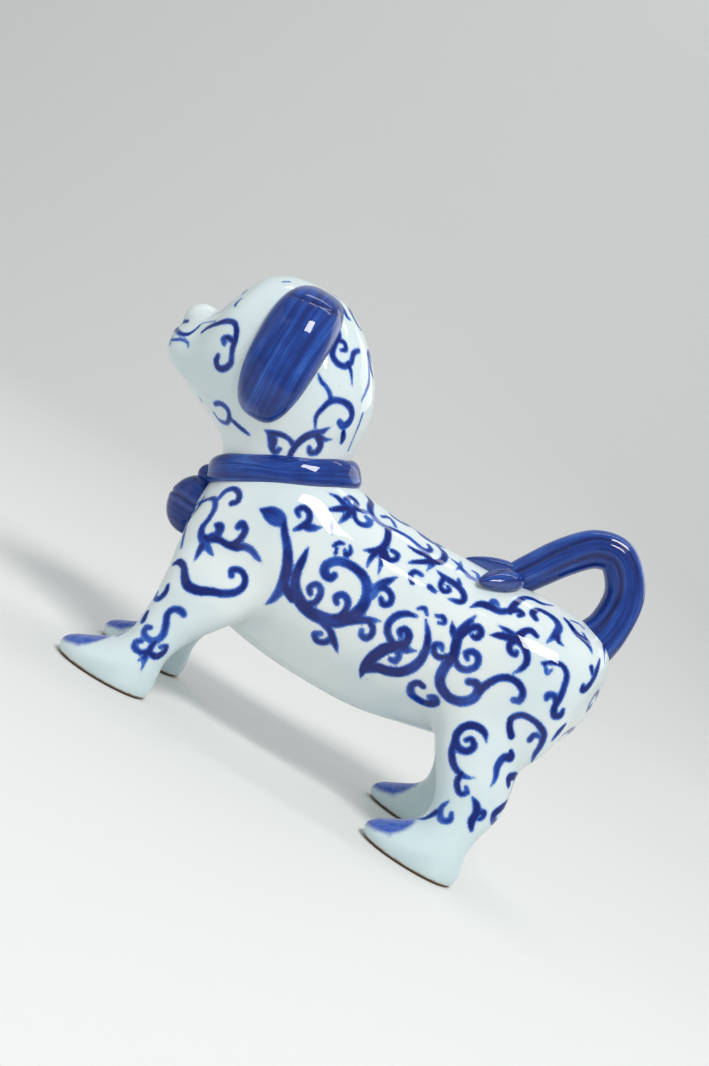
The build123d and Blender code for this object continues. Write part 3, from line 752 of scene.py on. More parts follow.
# %% Scrolls on the head
HEAD_MARKS = [
    [(-94.5, 122.7, .6), (-96, 121.5, .8), (-97, 119.5, .9), (-96.3, 117.9, .9), (-94, 117.7, .9),
     (-92, 119, .8), (-90.7, 121.5, .7), (-89.8, 124.5, .6), (-88, 126.3, .5), (-86, 127.8, .3)],
    [(-97.4, 113.2, .5), (-94.8, 115, .6), (-92.5, 116.2, .6), (-90.5, 116, .5), (-89.6, 114.8, .3)],
    [(-88.2, 122, .7), (-87.2, 124.5, 1), (-85.2, 127.2, 1), (-82.8, 129.7, 1.1), (-80, 130.7, 1.1),
     (-77.9, 128.9, 1.1), (-76.5, 125.6, 1.2), (-75.7, 122.5, 1.2), (-74.6, 120, 1.1),
     (-73.6, 117.5, 1.3), (-74.7, 114.8, 1.3), (-76.7, 114.1, 1.2), (-78.5, 115.7, 1.2),
     (-78.9, 117.7, 1)],
    [(-77, 125, 1.1), (-79.2, 125, 1.2), (-80.4, 123.8, 1.1), (-79.2, 122.6, 1)],
    [(-82.2, 139.5, .4), (-82.9, 137, .7), (-82.5, 136, .3)],
    [(-72.5, 152, .4), (-70.5, 153.3, .5)],
    [(-71, 102.3, .9), (-69.5, 103.5, 1), (-66.5, 103.2, 1), (-64.4, 101.3, 1.1), (-63.9, 98.8, .9),
     (-66.6, 98.2, .7), (-69.6, 99.4, .6)],
    [(-64, 100.8, .8), (-59, 99.8, .9), (-55, 99.3, .6)],
    [(-77, 101.4, .4), (-75.6, 100.8, .5)],
    [(-47.5, 149, .3), (-45.3, 145.8, 1.1), (-45, 142, 1.2), (-44, 139, 1.3), (-41, 137.3, 1.3),
     (-38, 137.6, 1.2), (-36.7, 140, 1.1), (-37.6, 143, 1.1), (-36.6, 145, .9)],
    [(-45, 144.5, 1), (-42.5, 144.7, 1), (-40.8, 143, 1), (-42, 141.8, .7)],
    [(-37.5, 139, 1), (-35, 137, .8), (-32.3, 133.2, .3)],
    [(-52, 156.5, .4), (-49, 155, .7), (-46.5, 153.2, 1), (-44.8, 152.8, .5)],
    [(-33.8, 146, .4), (-30, 141, .7), (-27.8, 137.5, .9), (-27, 134.5, .7), (-26.5, 130, .4)],
    [(-23.8, 126.5, .5), (-22.7, 121, .5), (-21.5, 112.5, .4)],
    [(-44.8, 130.5, .4), (-42.5, 128.8, .9), (-39.5, 127.8, .9), (-37, 126, 1), (-35.8, 124.2, 1.2)],
    [(-35.6, 113.2, .4), (-37.5, 117, .9), (-37, 121, 1.1), (-35.8, 124.5, 1.3), (-33, 126.3, 1.2),
     (-29.5, 126.4, 1.3), (-27, 124.4, 1.3), (-26.4, 121.5, 1.4), (-27.5, 119.2, 1.4),
     (-29.4, 119.6, 1.2)],
    [(-26.5, 117.5, .9), (-25.4, 115.6, 1.2), (-25, 114, .9)],
    [(-51, 103.4, .3), (-48, 104, 1.2), (-45, 105.1, 1.2), (-41.5, 105.2, 1), (-39, 104, 1.2)],
    [(-48.8, 103.4, 1.2), (-46.7, 102, 1.9), (-45.5, 99.6, 1.4), (-43.6, 98.7, 1.2), (-42.8, 100.4, 1)],
    [(-38.5, 100, 1.1), (-38.5, 104, 1.3), (-37.5, 108, 1.5), (-35.5, 111, 1.6), (-33, 113.5, 1.2),
     (-31.3, 116.3, .3)],
    [(-33.5, 111.5, 1.4), (-31, 111.5, 1), (-28.7, 112.8, .3)],
    [(-34, 111.8, 1.4), (-31.2, 109.5, 1.3), (-30.8, 106.7, 1.3), (-32.7, 105, 1.2), (-34, 106.3, 1)],
]

# %% [markdown]
# Front, crown and rump carry pairs of scrolls that meet at the middle line, so only the left half of
# each pair is drawn. The eye is two arcs round a solid pupil, under a short brow.

# %% Pairs on the face, the chest, the back and the rump
FACE = [
    [(-14.6, 136.6, .5), (-12.4, 139, .8), (-9.4, 139.7, .9), (-6.6, 138.2, .8), (-5.4, 135.8, .5)],
    [(-14.2, 136, .4), (-12.2, 134, .6), (-9, 133.2, .7), (-6.2, 134.4, .5)],
    [(-10.3, 136.8, 1.5), (-9.6, 136.2, 1.6)],
    [(-16.4, 142.6, .3), (-13.6, 144.6, 1), (-9.6, 145, 1.2), (-6, 143, .5)],
    [(-1.2, 149, .4), (-3.4, 151.6, 1), (-6.6, 152, 1), (-7.6, 149.8, 1), (-5.8, 148.8, .8)],
    [(-9.6, 117, .5), (-9.2, 117.4, .5)],
    [(-8, 114.6, .5), (-7.6, 115, .5)],
    [(-10.8, 114, .5), (-10.4, 114.4, .4)],
]
BREAST = [
    [(-14, 73, .4), (-16.6, 69.6, 1.2), (-16.4, 65, 1.6), (-13, 62.4, 1.5), (-11, 65, 1.4),
     (-12.8, 67, 1.1)],
    [(-3.4, 47.6, .4), (-6.4, 50.6, 1.4), (-10.6, 51.6, 1.7), (-14.4, 49.4, 1.6), (-15.6, 45.6, 1.5),
     (-13.2, 43, 1.4), (-10.8, 44.6, 1.3), (-11.8, 46.6, 1)],
    [(-4, 49, 1.4), (-3.4, 44.6, 1.4), (-5.4, 41, .4)],
    [(-9, 56.6, .4), (-5.4, 54.4, 1.2), (-2.4, 50.6, 1.3)],
]
SPINE = [
    [(2, -3.4, .4), (5, -5.6, 1.2), (9, -5.4, 1.3), (11, -2.8, 1.3), (9, -1.6, 1)],
    [(14, -3, .4), (18, -6, 1.3), (23, -5.8, 1.4), (25.6, -2.8, 1.3), (23.2, -1.6, 1)],
    [(-46, -4, .4), (-49, -7.4, 1.1), (-54, -7.2, 1.3), (-56, -4, 1.2), (-53.4, -2.6, 1)],
    [(-60, -3, .4), (-63.6, -5.4, 1.1), (-67, -4, 1.1), (-66, -1.8, .9)],
    [(-31, -5, .3), (-34, -8, 1.2), (-38, -7, 1.2), (-38.4, -4, 1.1), (-36, -3.4, .9)],
]
RUMP = [
    [(-3.4, 80, .4), (-6.8, 83.6, 1.2), (-11.4, 83.4, 1.4), (-13.4, 79.6, 1.4), (-10.8, 76.8, 1.3),
     (-8.6, 78.6, 1.1)],
    [(-2.6, 58, .4), (-4.6, 62.6, 1.4), (-8.6, 66.6, 1.6), (-13.6, 66.8, 1.6), (-16.2, 63.2, 1.5),
     (-14.6, 59.8, 1.4), (-12, 61, 1.2)],
    [(-5, 64, 1.3), (-4.4, 69.4, 1.2), (-6.6, 73, .4)],
    [(-12, 56, .3), (-10.4, 52.4, 1.2), (-7, 50.2, 1.3), (-4.4, 51.8, 1.1)],
]
TOE_TIPS = (-74.0, 52.4)
TOE_LINES = [[(tip + x, z, r) for x, z, r in line] for tip in (-73.4, 53.6) for line in (
    [(.4, 4.4, .5), (2.4, 7, .7), (6, 9, .4)], [(2.6, 3.8, .4), (5.4, 6.6, .7), (9.4, 8.8, .4)])]

# %% Painting every point of the skin
def paint(places, seed, left_strokes, pairs):
    """Lays the strokes of the left side and their mirror images, and the pairs. Gives the brush."""
    brush = Brush(places, seed)
    thrown = [throw(stroke, "left") for stroke in left_strokes]
    thrown += [throw(stroke, sheet) for sheet, strokes in pairs for stroke in strokes]
    for side in (1, -1):
        for line, width in thrown:
            brush.pull(line * [1, side, 1], width)
    return brush


scrolls = paint(points, 8, FLANK + BACK + CHEST + HEAD_MARKS + TOE_LINES,
                [("front", FACE + BREAST), ("top", SPINE), ("rear", RUMP)])


PAW_TOP = 17.0          # the wash stays below this height
CORNER_REACH = 5.0      # a corner is felt from this far off


def toe_wash(places):
    """How far a place is outside the washed top of the nearest paw, in millimetres.

    Seen from above the wash is an oval over the toes. Its lower edge rises from the tip backwards.
    """
    outside = []
    for tip in TOE_TIPS:
        oval = np.hypot((places[:, 0] - tip - 6.6) / 8.6, (np.abs(places[:, 1]) - STANCE) / 10.5)
        lower = 3.2 + 0.32 * (places[:, 0] - tip) - places[:, 2]
        outside.append(np.maximum(np.maximum(8.0 * (oval - 1), lower), places[:, 2] - PAW_TOP))
    return np.min(outside, 0)


toe_ink = np.minimum(toe_wash(points), INK_REACH)
# how hollow each place is: the body is painted greyer there, partly pooled glaze, partly painted shade
hollow = np.clip(1.0 - probe(skin_field, points + CORNER_REACH * normals) / CORNER_REACH, 0, 1)
print("share of the skin under paint:", round(float((scrolls.ink < 0).mean()), 3))

# %% [markdown]
# ## Colours and finishes
#
# There are three finishes. The painted body is a white clay under a clear glaze with a cold, faintly
# green tint, which is painted deeper and greyer in corners, partly as pooled glaze and partly as
# painted shade. The blue pieces have a thin wash of cobalt, brushed lengthwise, under the same glaze.
# The soles are wiped bare and stay a dull, sandy brown.

# %% Small helpers for materials
def linear(code):
    """An sRGB hex colour as linear red, green, blue and 1."""
    parts = [int(code[i:i + 2], 16) / 255 for i in (1, 3, 5)]
    return tuple(c / 12.92 if c <= 0.04045 else ((c + 0.055) / 1.055) ** 2.4 for c in parts) + (1.0,)


class Recipe:
    """A material in the making: add() places a node and feeds its sockets with links or constants."""

    def __init__(self, name):
        self.material = bpy.data.materials.new(name)
        self.material.use_nodes = True
        self.tree = self.material.node_tree
        self.tree.nodes.clear()

    def add(self, kind, inputs=None, output=0, **settings):
        node = self.tree.nodes.new("ShaderNode" + kind)
        for key, value in settings.items():
            setattr(node, key, value)
        for key, value in (inputs or {}).items():
            if isinstance(value, bpy.types.NodeSocket):
                self.tree.links.new(value, node.inputs[key])
            else:
                node.inputs[key].default_value = value
        return node.outputs[output] if len(node.outputs) else node

    def math(self, operation, a, b=0.0, c=0.0, clamp=False):
        return self.add("Math", {0: a, 1: b, 2: c}, operation=operation, use_clamp=clamp)

    def fade(self, low, high, value):
        """0 below low, 1 above high, smooth between."""
        return self.add("MapRange", {"Value": value, "From Min": low, "From Max": high},
                        interpolation_type="SMOOTHSTEP")

    def mix_colour(self, share, a, b):
        """The first colour turned into the second by share."""
        node = self.tree.nodes.new("ShaderNodeMix")
        node.data_type = "RGBA"
        for socket, value in ((node.inputs[0], share), (node.inputs[6], a), (node.inputs[7], b)):
            if isinstance(value, bpy.types.NodeSocket):
                self.tree.links.new(value, socket)
            else:
                socket.default_value = value
        return node.outputs[2]

    def noise(self, vector, scale, detail=2.0, roughness=0.5):
        return self.add("TexNoise", {"Vector": vector, "Scale": scale, "Detail": detail,
                                     "Roughness": roughness})

    def finish(self, shader):
        self.add("OutputMaterial", {"Surface": shader})
        return self.material


PER_MM = 1000.0     # a noise this big in scale has features about a millimetre wide


def glazed(recipe, colour, roughness, bump_strength, place):
    """Clear glaze over a colour: a hard, wet-looking coat that lies in very shallow waves."""
    waves = recipe.noise(place, PER_MM / 14, 1.5)
    ripples = recipe.noise(place, PER_MM / 3, 2.0)
    height = recipe.math("ADD", waves, recipe.math("MULTIPLY", ripples, 0.06))
    bump = recipe.add("Bump", {"Strength": bump_strength, "Distance": 0.0012, "Height": height})
    return recipe.add("BsdfPrincipled", {
        "Base Color": colour, "Roughness": roughness, "IOR": 1.5, "Specular IOR Level": 0.0, "Normal": bump,
        "Coat Weight": 0.9, "Coat Roughness": 0.03, "Coat IOR": 1.5, "Coat Normal": bump})


# %% The painted body
WHITE = linear("#E4EBEA")          # glaze on white clay
PALE = linear("#D4E2E4")           # a colder cloud in it
POOLED_GLAZE_AND_SHADE = linear("#A3B3B4")         # glaze run together in a corner, and painted shade there
FOOT_TINT = linear("#C6DFE4")      # a darker, bluer tone low on the legs
FRINGE = linear("#4673C0")         # a stroke's thin edge
COBALT = linear("#1B49AC")         # its middle
NAVY = linear("#081A68")           # where the brush left a pool
TOE_BLUE = linear("#1C48B2")       # the flat wash on a paw
BARE_CLAY = linear("#94785F")      # the wiped sole
SPECK = linear("#3A4672")          # iron in the clay


def painted_porcelain():
    """White porcelain with brushed cobalt scrolls under a clear glaze."""
    r = Recipe("painted porcelain under clear glaze")
    place = r.add("TexCoord", output=3)
    ink = r.add("Attribute", output=2, attribute_name="ink")
    run = r.add("Attribute", output=1, attribute_name="run")
    along, across, load = r.add("SeparateXYZ", {"Vector": run}).node.outputs
    # the body colour: slow cold clouds, and a greyer tone in corners, partly glaze run together and partly
    # painted shade
    clouds = r.noise(place, PER_MM / 45, 2.0)
    body = r.mix_colour(r.fade(0.35, 0.7, clouds), WHITE, PALE)
    corner = r.add("Attribute", output=2, attribute_name="hollow")
    body = r.mix_colour(r.math("MULTIPLY", corner, 0.85), body, POOLED_GLAZE_AND_SHADE)
    # towards the bottom the body turns darker and bluer
    foot = r.add("SeparateXYZ", {"Vector": place}, 2)
    body = r.mix_colour(r.math("MULTIPLY", r.fade(0.045, 0.012, foot), 0.45), body, FOOT_TINT)
    # the toes' flat wash, brushed forward
    grain = r.noise(place, PER_MM / 2.2, 3.0)
    toe = r.add("Attribute", output=2, attribute_name="toe")
    toe = r.math("ADD", toe, r.math("MULTIPLY_ADD", grain, 1.4, -0.7))
    thickness = r.math("MULTIPLY_ADD", grain, 0.4, 0.75)
    toe_share = r.math("MULTIPLY", r.fade(0.7, -1.6, toe), thickness, clamp=True)
    body = r.mix_colour(toe_share, body, TOE_BLUE)
    # a stroke: ragged by the clay's tooth, dark where the brush left a pool, pale at its fringe
    tooth = r.noise(place, PER_MM / 0.9, 3.0, 0.6)
    edge = r.math("ADD", ink, r.math("MULTIPLY_ADD", tooth, 0.7, -0.35))
    bleed = r.math("MULTIPLY", r.fade(1.1, 0.0, edge), 0.16)
    body = r.mix_colour(bleed, body, FRINGE)
    covered = r.fade(0.26, -0.20, edge)
    hairs = r.add("CombineXYZ", {
        "X": r.math("MULTIPLY", along, 0.09), "Y": r.math("MULTIPLY", across, 2.6), "Z": load})
    streak = r.noise(hairs, 1.6, 3.0, 0.6)
    puddle = r.noise(place, PER_MM / 5.0, 2.0)
    depth = r.fade(0.0, 0.95, r.math("MULTIPLY", edge, -1.0))
    strength = r.math("MULTIPLY", load, r.math("MULTIPLY_ADD", streak, 1.1, 0.42))
    strength = r.math("MULTIPLY", strength, r.math("MULTIPLY_ADD", puddle, 0.7, 0.62))
    dark = r.math("MULTIPLY", depth, strength, clamp=True)
    pigment = r.mix_colour(r.fade(0.0, 0.42, dark), FRINGE, COBALT)
    pigment = r.mix_colour(r.fade(0.2, 0.68, dark), pigment, NAVY)
    loaded = r.fade(0.0, 0.28, r.math("ADD", load, 0.05))
    colour = r.mix_colour(r.math("MULTIPLY", covered, loaded), body, pigment)
    # a few iron specks in the clay
    cells = r.add("TexVoronoi", {"Vector": place, "Scale": PER_MM / 11, "Randomness": 1.0})
    colour = r.mix_colour(r.math("MULTIPLY", r.fade(0.03, 0.012, cells), 0.7), colour, SPECK)
    # the sole is wiped bare
    rim = r.math("ADD", foot, r.math("MULTIPLY_ADD", grain, 0.0010, -0.0005))
    bare = r.fade(0.0011, 0.0005, rim)
    colour = r.mix_colour(bare, colour, BARE_CLAY)
    coat = glazed(r, colour, 0.3, 0.10, place)
    dull = r.add("BsdfPrincipled", {"Base Color": colour, "Roughness": 0.85})
    return r.finish(r.add("MixShader", {0: bare, 1: coat, 2: dull}))


# %% The cobalt pieces
WASH_LIGHT = linear("#4C7CC8")
WASH = linear("#1F4CA6")
WASH_DEEP = linear("#12286E")
GROOVE_COBALT_AND_SHADE = linear("#0A1148")
THIN = linear("#6C78A6")


def cobalt_wash(name, streaks_per_mm, deepening):
    """A brushed cobalt wash. The piece says where: brushed = (along, across, depth of a groove)."""
    r = Recipe(name)
    place = r.add("TexCoord", output=3)
    brushed = r.add("Attribute", output=1, attribute_name="brushed")
    along, across, groove = r.add("SeparateXYZ", {"Vector": brushed}).node.outputs
    thin = r.add("Attribute", output=2, attribute_name="thin")
    wander = r.math("MULTIPLY_ADD", r.noise(place, PER_MM / 24, 1.0), 2.0, across)
    hairs = r.add("CombineXYZ", {
        "X": r.math("MULTIPLY", along, 0.016), "Y": r.math("MULTIPLY", wander, streaks_per_mm)})
    fine = r.noise(hairs, 3.2, 4.0, 0.62)
    broad = r.noise(hairs, 0.9, 2.0, 0.5)
    puddle = r.noise(place, PER_MM / 9, 2.0)
    tone = r.math("ADD", r.math("MULTIPLY", fine, 0.5), r.math("MULTIPLY", broad, 0.62))
    tone = r.math("ADD", tone, r.math("MULTIPLY", puddle, 0.22))
    colour = r.mix_colour(r.fade(0.52, 0.86, tone), WASH_DEEP, WASH)
    colour = r.mix_colour(r.math("MULTIPLY", r.fade(0.70, 1.0, tone), 0.8), colour, WASH_LIGHT)
    colour = r.mix_colour(deepening, colour, WASH_DEEP)
    # grooves, the ear's fold and the bell's slit are painted dark: partly cobalt pooled in them, partly
    # painted shade
    colour = r.mix_colour(r.math("MULTIPLY", groove, 0.9, clamp=True), colour, GROOVE_COBALT_AND_SHADE)
    worn = r.math("MULTIPLY", thin, r.math("MULTIPLY_ADD", fine, 0.9, 0.35), clamp=True)
    colour = r.mix_colour(r.math("MULTIPLY", worn, 0.75), colour, THIN)
    return r.finish(glazed(r, colour, 0.3, 0.14, place))


PORCELAIN = painted_porcelain()
EAR_WASH = cobalt_wash("cobalt wash on the ears", 0.42, 0.0)
BAND_WASH = cobalt_wash("cobalt wash on the collar", 0.55, 0.12)
TAIL_WASH = cobalt_wash("cobalt wash on the tail", 0.42, 0.05)
BELL_WASH = cobalt_wash("deep cobalt wash on the bell", 0.5, 0.42)
print("finishes:", len(bpy.data.materials))


# %% [markdown]
# ## The body pieces

# %% Trunk, head, legs and nose
def dress(piece, material, slot_name, *nodes):
    """Gives a piece its finish, ties it to the body, and hides the frame parts of the nodes it stands for."""
    piece.data.materials.append(material)
    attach(piece, "root")
    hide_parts(*nodes)
    return piece


SHELLS = {"trunk": "trunk_shell", "head": "head_shell"}     # the others have their node's own name
for number, name in enumerate(PIECE_NAMES):
    own, used = part_of_net(number)
    rim, middles = cap(own, points[used])
    hidden = np.tile([0.0, 0.0, 1.0], (len(middles), 1))
    plain = np.full(len(middles), INK_REACH)
    piece = make_mesh(
        "glazed_" + name, np.vstack([points[used], middles]), [own, rim], np.vstack([normals[used], hidden]),
        {"ink": np.concatenate([scrolls.ink[used], plain]), "run": np.vstack([scrolls.run[used], hidden]),
         "toe": np.concatenate([toe_ink[used], plain]), "hollow": np.concatenate([hollow[used], plain])})
    dress(piece, PORCELAIN, "white_glaze", SHELLS.get(name, name))
    print(piece.name, "triangles:", sum(len(p.vertices) - 2 for p in piece.data.polygons))


# %% [markdown]
# ## The blue pieces
#
# These are small added pieces: two pads for ears, a strap for the collar, a bell on a stud, a rolled
# rope for the tail and three pressed leaves. Each surface is a function of two parameters on a grid.

# %% Grids
def wrap(rows, columns, closed_rows=False):
    """Faces of a grid of rows by columns, whose columns close into a ring."""
    i = np.arange(rows if closed_rows else rows - 1)[:, None]
    j = np.arange(columns)[None, :]
    nxt_i, nxt_j = (i + 1) % rows, (j + 1) % columns
    quad = np.stack(np.broadcast_arrays(i * columns + j, i * columns + nxt_j, nxt_i * columns + nxt_j,
                                        nxt_i * columns + j), 2)
    return quad.reshape(-1, 4)


def poles(rows, columns):
    """Triangles from the first and the last row of a grid to two more points, one after the other."""
    j = np.arange(columns)
    k = (j + 1) % columns
    first, last = rows * columns, rows * columns + 1
    base = (rows - 1) * columns
    start = np.stack([k, j, np.full(columns, first)], 1)
    end = np.stack([base + j, base + k, np.full(columns, last)], 1)
    return np.concatenate([start, end])


def ringed(name, rings, material, nodes, brushed, thin, ends=True):
    """A piece from rings of points, rows by columns by 3, with the brush's run and the thin places."""
    rows, columns = rings.shape[:2]
    places, run, pale = rings.reshape(-1, 3), brushed.reshape(-1, 3), thin.ravel()
    blocks = [wrap(rows, columns, not ends)]
    if ends:
        tips = [rings[0].mean(0), rings[-1].mean(0)]
        places = np.vstack([places, tips])
        run = np.vstack([run, brushed[0].mean(0), brushed[-1].mean(0)])
        pale = np.concatenate([pale, [thin[0].mean(), thin[-1].mean()]])
        blocks.append(poles(rows, columns))
    corner = places[blocks[0]]
    volume = np.sum(np.einsum("ij,ij->i", corner[:, 0], np.cross(corner[:, 1], corner[:, 2])
                              + np.cross(corner[:, 2], corner[:, 3])))
    if volume < 0:
        blocks = [block[:, ::-1] for block in blocks]
    piece = make_mesh(name, places, blocks, None, {"brushed": run, "thin": pale})
    dress(piece, material, "blue_glaze", *nodes)
    print(piece.name, "faces:", len(piece.data.polygons))
    return piece


# %% [markdown]
# ### Ears
#
# An ear is a pad of clay, rolled flat, trimmed to a long oval with blunt ends and pressed on. It
# follows the head, so its outer surface is the head's own surface moved out by the pad's thickness,
# which falls off in a round lip. The wash was brushed along it from top to bottom.

# %% The ears
EAR_X, EAR_Z, EAR_HALF_LENGTH, EAR_HALF_WIDTH = -58.0, 132.7, 27.0, 13.4
EAR_THICK, EAR_BLUNT, EAR_LEAN = 7.4, 3.0, -0.04


def on_head(x, z, level, least):
    """The distance from the mid-plane at which the head's field has the given level, but never less
    than least, because the top of an ear stands off the round of the crown."""
    ys = np.arange(0.0, 44.0, 0.5)
    places = np.stack(np.broadcast_arrays(x[..., None], ys, z[..., None]), -1)
    value = probe(head_field, places.reshape(-1, 3)).reshape(places.shape[:-1]) - level[..., None]
    beyond = value > 0
    last = len(ys) - 1 - np.argmax(~beyond[..., ::-1], axis=-1)
    last = np.clip(last, 0, len(ys) - 2)
    a = np.take_along_axis(value, last[..., None], -1)[..., 0]
    b = np.take_along_axis(value, last[..., None] + 1, -1)[..., 0]
    reach = np.where(beyond.all(-1), 0, ys[last] + 0.5 * np.clip(-a / np.where(b == a, 1, b - a), 0, 1))
    fillet = 4.0
    over = np.maximum(fillet - np.abs(reach - least), 0) / fillet
    return np.maximum(reach, least) + over**3 * (fillet / 6)


def ear(side):
    """Rings from the middle of the outer face over the lip to the middle of the face on the head."""
    angle = np.linspace(0, tau, 144, endpoint=False)[None, :]
    outer = np.sin(np.linspace(0.02, pi / 2, 40))
    share = np.concatenate([outer, np.linspace(0.97, 0.05, 8)])[:, None]
    back = np.arange(len(share))[:, None] >= len(outer)
    c, s = np.cos(angle), np.sin(angle)
    across = np.sign(c) * np.abs(c) ** (2 / EAR_BLUNT)
    up = np.sign(s) * np.abs(s) ** (2 / EAR_BLUNT)
    u, v = share * across, share * up
    z = EAR_Z + EAR_HALF_LENGTH * v
    x = EAR_X + EAR_HALF_WIDTH * u * (0.97 + 0.06 * v - 0.05 * v * v) + EAR_LEAN * (z - EAR_Z)
    lip = np.sqrt(np.clip(1 - share**5, 0, 1))
    fold = np.exp(-((z - EAR_Z - 19.5 - 2.2 * u) / 0.7) ** 2) * smooth_step(1.0, 0.7, np.abs(u))
    waves = 0.35 * np.sin(across * share * 5.5 + 0.6) * lip
    level = np.where(back, -2.0, (EAR_THICK - 1.6 * u * u + waves - 0.5 * fold) * lip - 0.6)
    y = on_head(x + 0 * level, z + 0 * level, level, np.where(back, 8.5, 11.0 + 5.5 * lip))
    rings = np.stack([x + 0 * y, side * y, z + 0 * y], -1)
    brushed = np.stack([z + 0 * y, x + 0 * y, 0.8 * fold + 0 * y], -1)
    thin = smooth_step(0.80, 1.0, share) * (0.5 + 0.5 * np.sin(3 * angle + 1)) + 0 * y
    return rings, brushed, thin


for side_name, side in (("left", -1), ("right", 1)):
    rings, brushed, thin = ear(side)
    ringed(f"{side_name}_ear_pad", rings, EAR_WASH, [f"{side_name}_ear"], brushed, thin)


# %% [markdown]
# ### Collar
#
# The collar hides the joint between head and trunk. It is a flat strap of clay laid round the neck, a
# little wider at its lower edge, with soft edges. It was brushed round and round.

# %% The collar
NECK = np.array([-40.0, 0.0, 94.7])
NECK_TILT = radians(28.2)
NECK_BACKWARD = np.array([cos(NECK_TILT), 0.0, sin(NECK_TILT)])
NECK_UP = np.array([-sin(NECK_TILT), 0.0, cos(NECK_TILT)])
NECK_HALF_LENGTH, NECK_HALF_WIDTH = 26.2, 23.4


def collar():
    """A rounded strap swept round the neck's oval: column = place on the strap's outline."""
    turn = np.linspace(0, tau, 200, endpoint=False)[:, None]
    t = np.linspace(0, tau, 40, endpoint=False)[None, :]
    c, s = np.cos(t), np.sin(t)
    out = 3.7 * np.sign(c) * np.abs(c) ** 0.8
    rise = 5.5 * np.sign(s) * np.abs(s) ** 0.72
    wobble = 0.25 * np.sin(3 * turn + 1.0) + 0.2 * np.sin(7 * turn)
    out = out - 0.20 * rise - 0.8 + 0.12 * np.sin(5 * turn + 2)
    rise = rise - 0.5 + wobble
    reach_x, reach_y = NECK_HALF_LENGTH + out, NECK_HALF_WIDTH + out
    rings = (NECK + (reach_x * np.cos(turn))[..., None] * NECK_BACKWARD
             + (reach_y * np.sin(turn))[..., None] * np.array([0, 1.0, 0]) + rise[..., None] * NECK_UP)
    brushed = np.stack([turn * 25.0 + 0 * rise, rise * 1.5 + 2 * out, 0 * rise], -1)
    thin = smooth_step(4.4, 5.6, np.abs(rise)) * 0.8
    return rings, brushed, thin


rings, brushed, thin = collar()
ringed("collar_strap", rings, BAND_WASH, ["collar"], brushed, thin, ends=False)


# %% [markdown]
# ### Bell
#
# A little sleigh bell hangs from a stud on the collar and leans on the chest. Two ribs run round its
# waist, and a shallow slit is pressed into it below. The outline below is turned round the
# bell's axis.

# %% Stud and bell
BELL_MIDDLE = np.array([-62.0, 0.0, 66.0])
STUD_MIDDLE = np.array([-63.2, 0.0, 78.6])


def turned(outline, middle, count=96):
    """Rings of an outline of (radius, height) turned round the vertical through the middle."""
    angle = np.linspace(0, tau, count, endpoint=False)[None, :]
    radius, height = outline[:, :1], outline[:, 1:]
    rings = np.stack([radius * np.cos(angle), radius * np.sin(angle), height + 0 * angle], -1)
    return rings + middle, angle


latitude = np.linspace(-pi / 2 + 0.03, pi / 2 - 0.03, 72)
bell_radius = 10.9 * np.cos(latitude) ** 0.94
bell_height = 11.8 * np.sin(latitude)
waist = np.exp(-((bell_height - 0.6) / 0.5) ** 2)
ribs = np.exp(-((bell_height - 2.2) / 0.9) ** 2) + np.exp(-((bell_height + 1.0) / 0.9) ** 2)
bell_radius = bell_radius + 0.2 * ribs - 0.4 * waist
rings, angle = turned(np.stack([bell_radius, bell_height], 1), BELL_MIDDLE)
slit = np.exp(-(((rings[..., 1]) / 0.9) ** 2)) * smooth_step(-2.5, -5.5, bell_height)[:, None]
slit = slit * smooth_step(-1.0, -3.0, rings[..., 0] - BELL_MIDDLE[0] + 0 * slit)
rings = rings + (BELL_MIDDLE - rings) * (0.07 * slit)[..., None]
# the waist and the slit take the dark groove tone: pooled cobalt, and painted shade where the slit would open
brushed = np.stack([10.0 * angle + 0 * bell_radius[:, None], bell_height[:, None] * 1.6 + 0 * angle,
                    waist[:, None] + 1.0 * slit], -1)
ringed("bell", rings, BELL_WASH, ["bell"], brushed, 0.35 * ribs[:, None] + 0 * angle)

latitude = np.linspace(-pi / 2 + 0.05, pi / 2 - 0.05, 24)
rings, angle = turned(np.stack([4.8 * np.cos(latitude), 4.4 * np.sin(latitude)], 1), STUD_MIDDLE, 48)
brushed = np.stack([4 * angle + 0 * latitude[:, None], 4 * latitude[:, None] + 0 * angle,
                    0 * rings[..., 0]], -1)
ringed("bell_stud", rings, BAND_WASH, ["bell_hanger"], brushed, 0 * rings[..., 0])


# %% [markdown]
# ### Tail and leaves
#
# The tail is a roll of clay with two grooves pressed along each side, so that it looks like twisted
# hair. It rises from the rump, loops over and comes down on the back, where three pressed leaves hide
# its end.

# %% The tail
TAIL_LINE = [(87.0, 87.0), (91.6, 96.0), (94.8, 107.0), (93.6, 120.6), (85.4, 130.6), (76.0, 129.8),
             (67.6, 121.6), (60.0, 110.6), (53.5, 100.5)]
TAIL_RADIUS = [10.6, 9.8, 8.2, 7.5, 7.4, 7.4, 7.2, 7.0, 6.4]


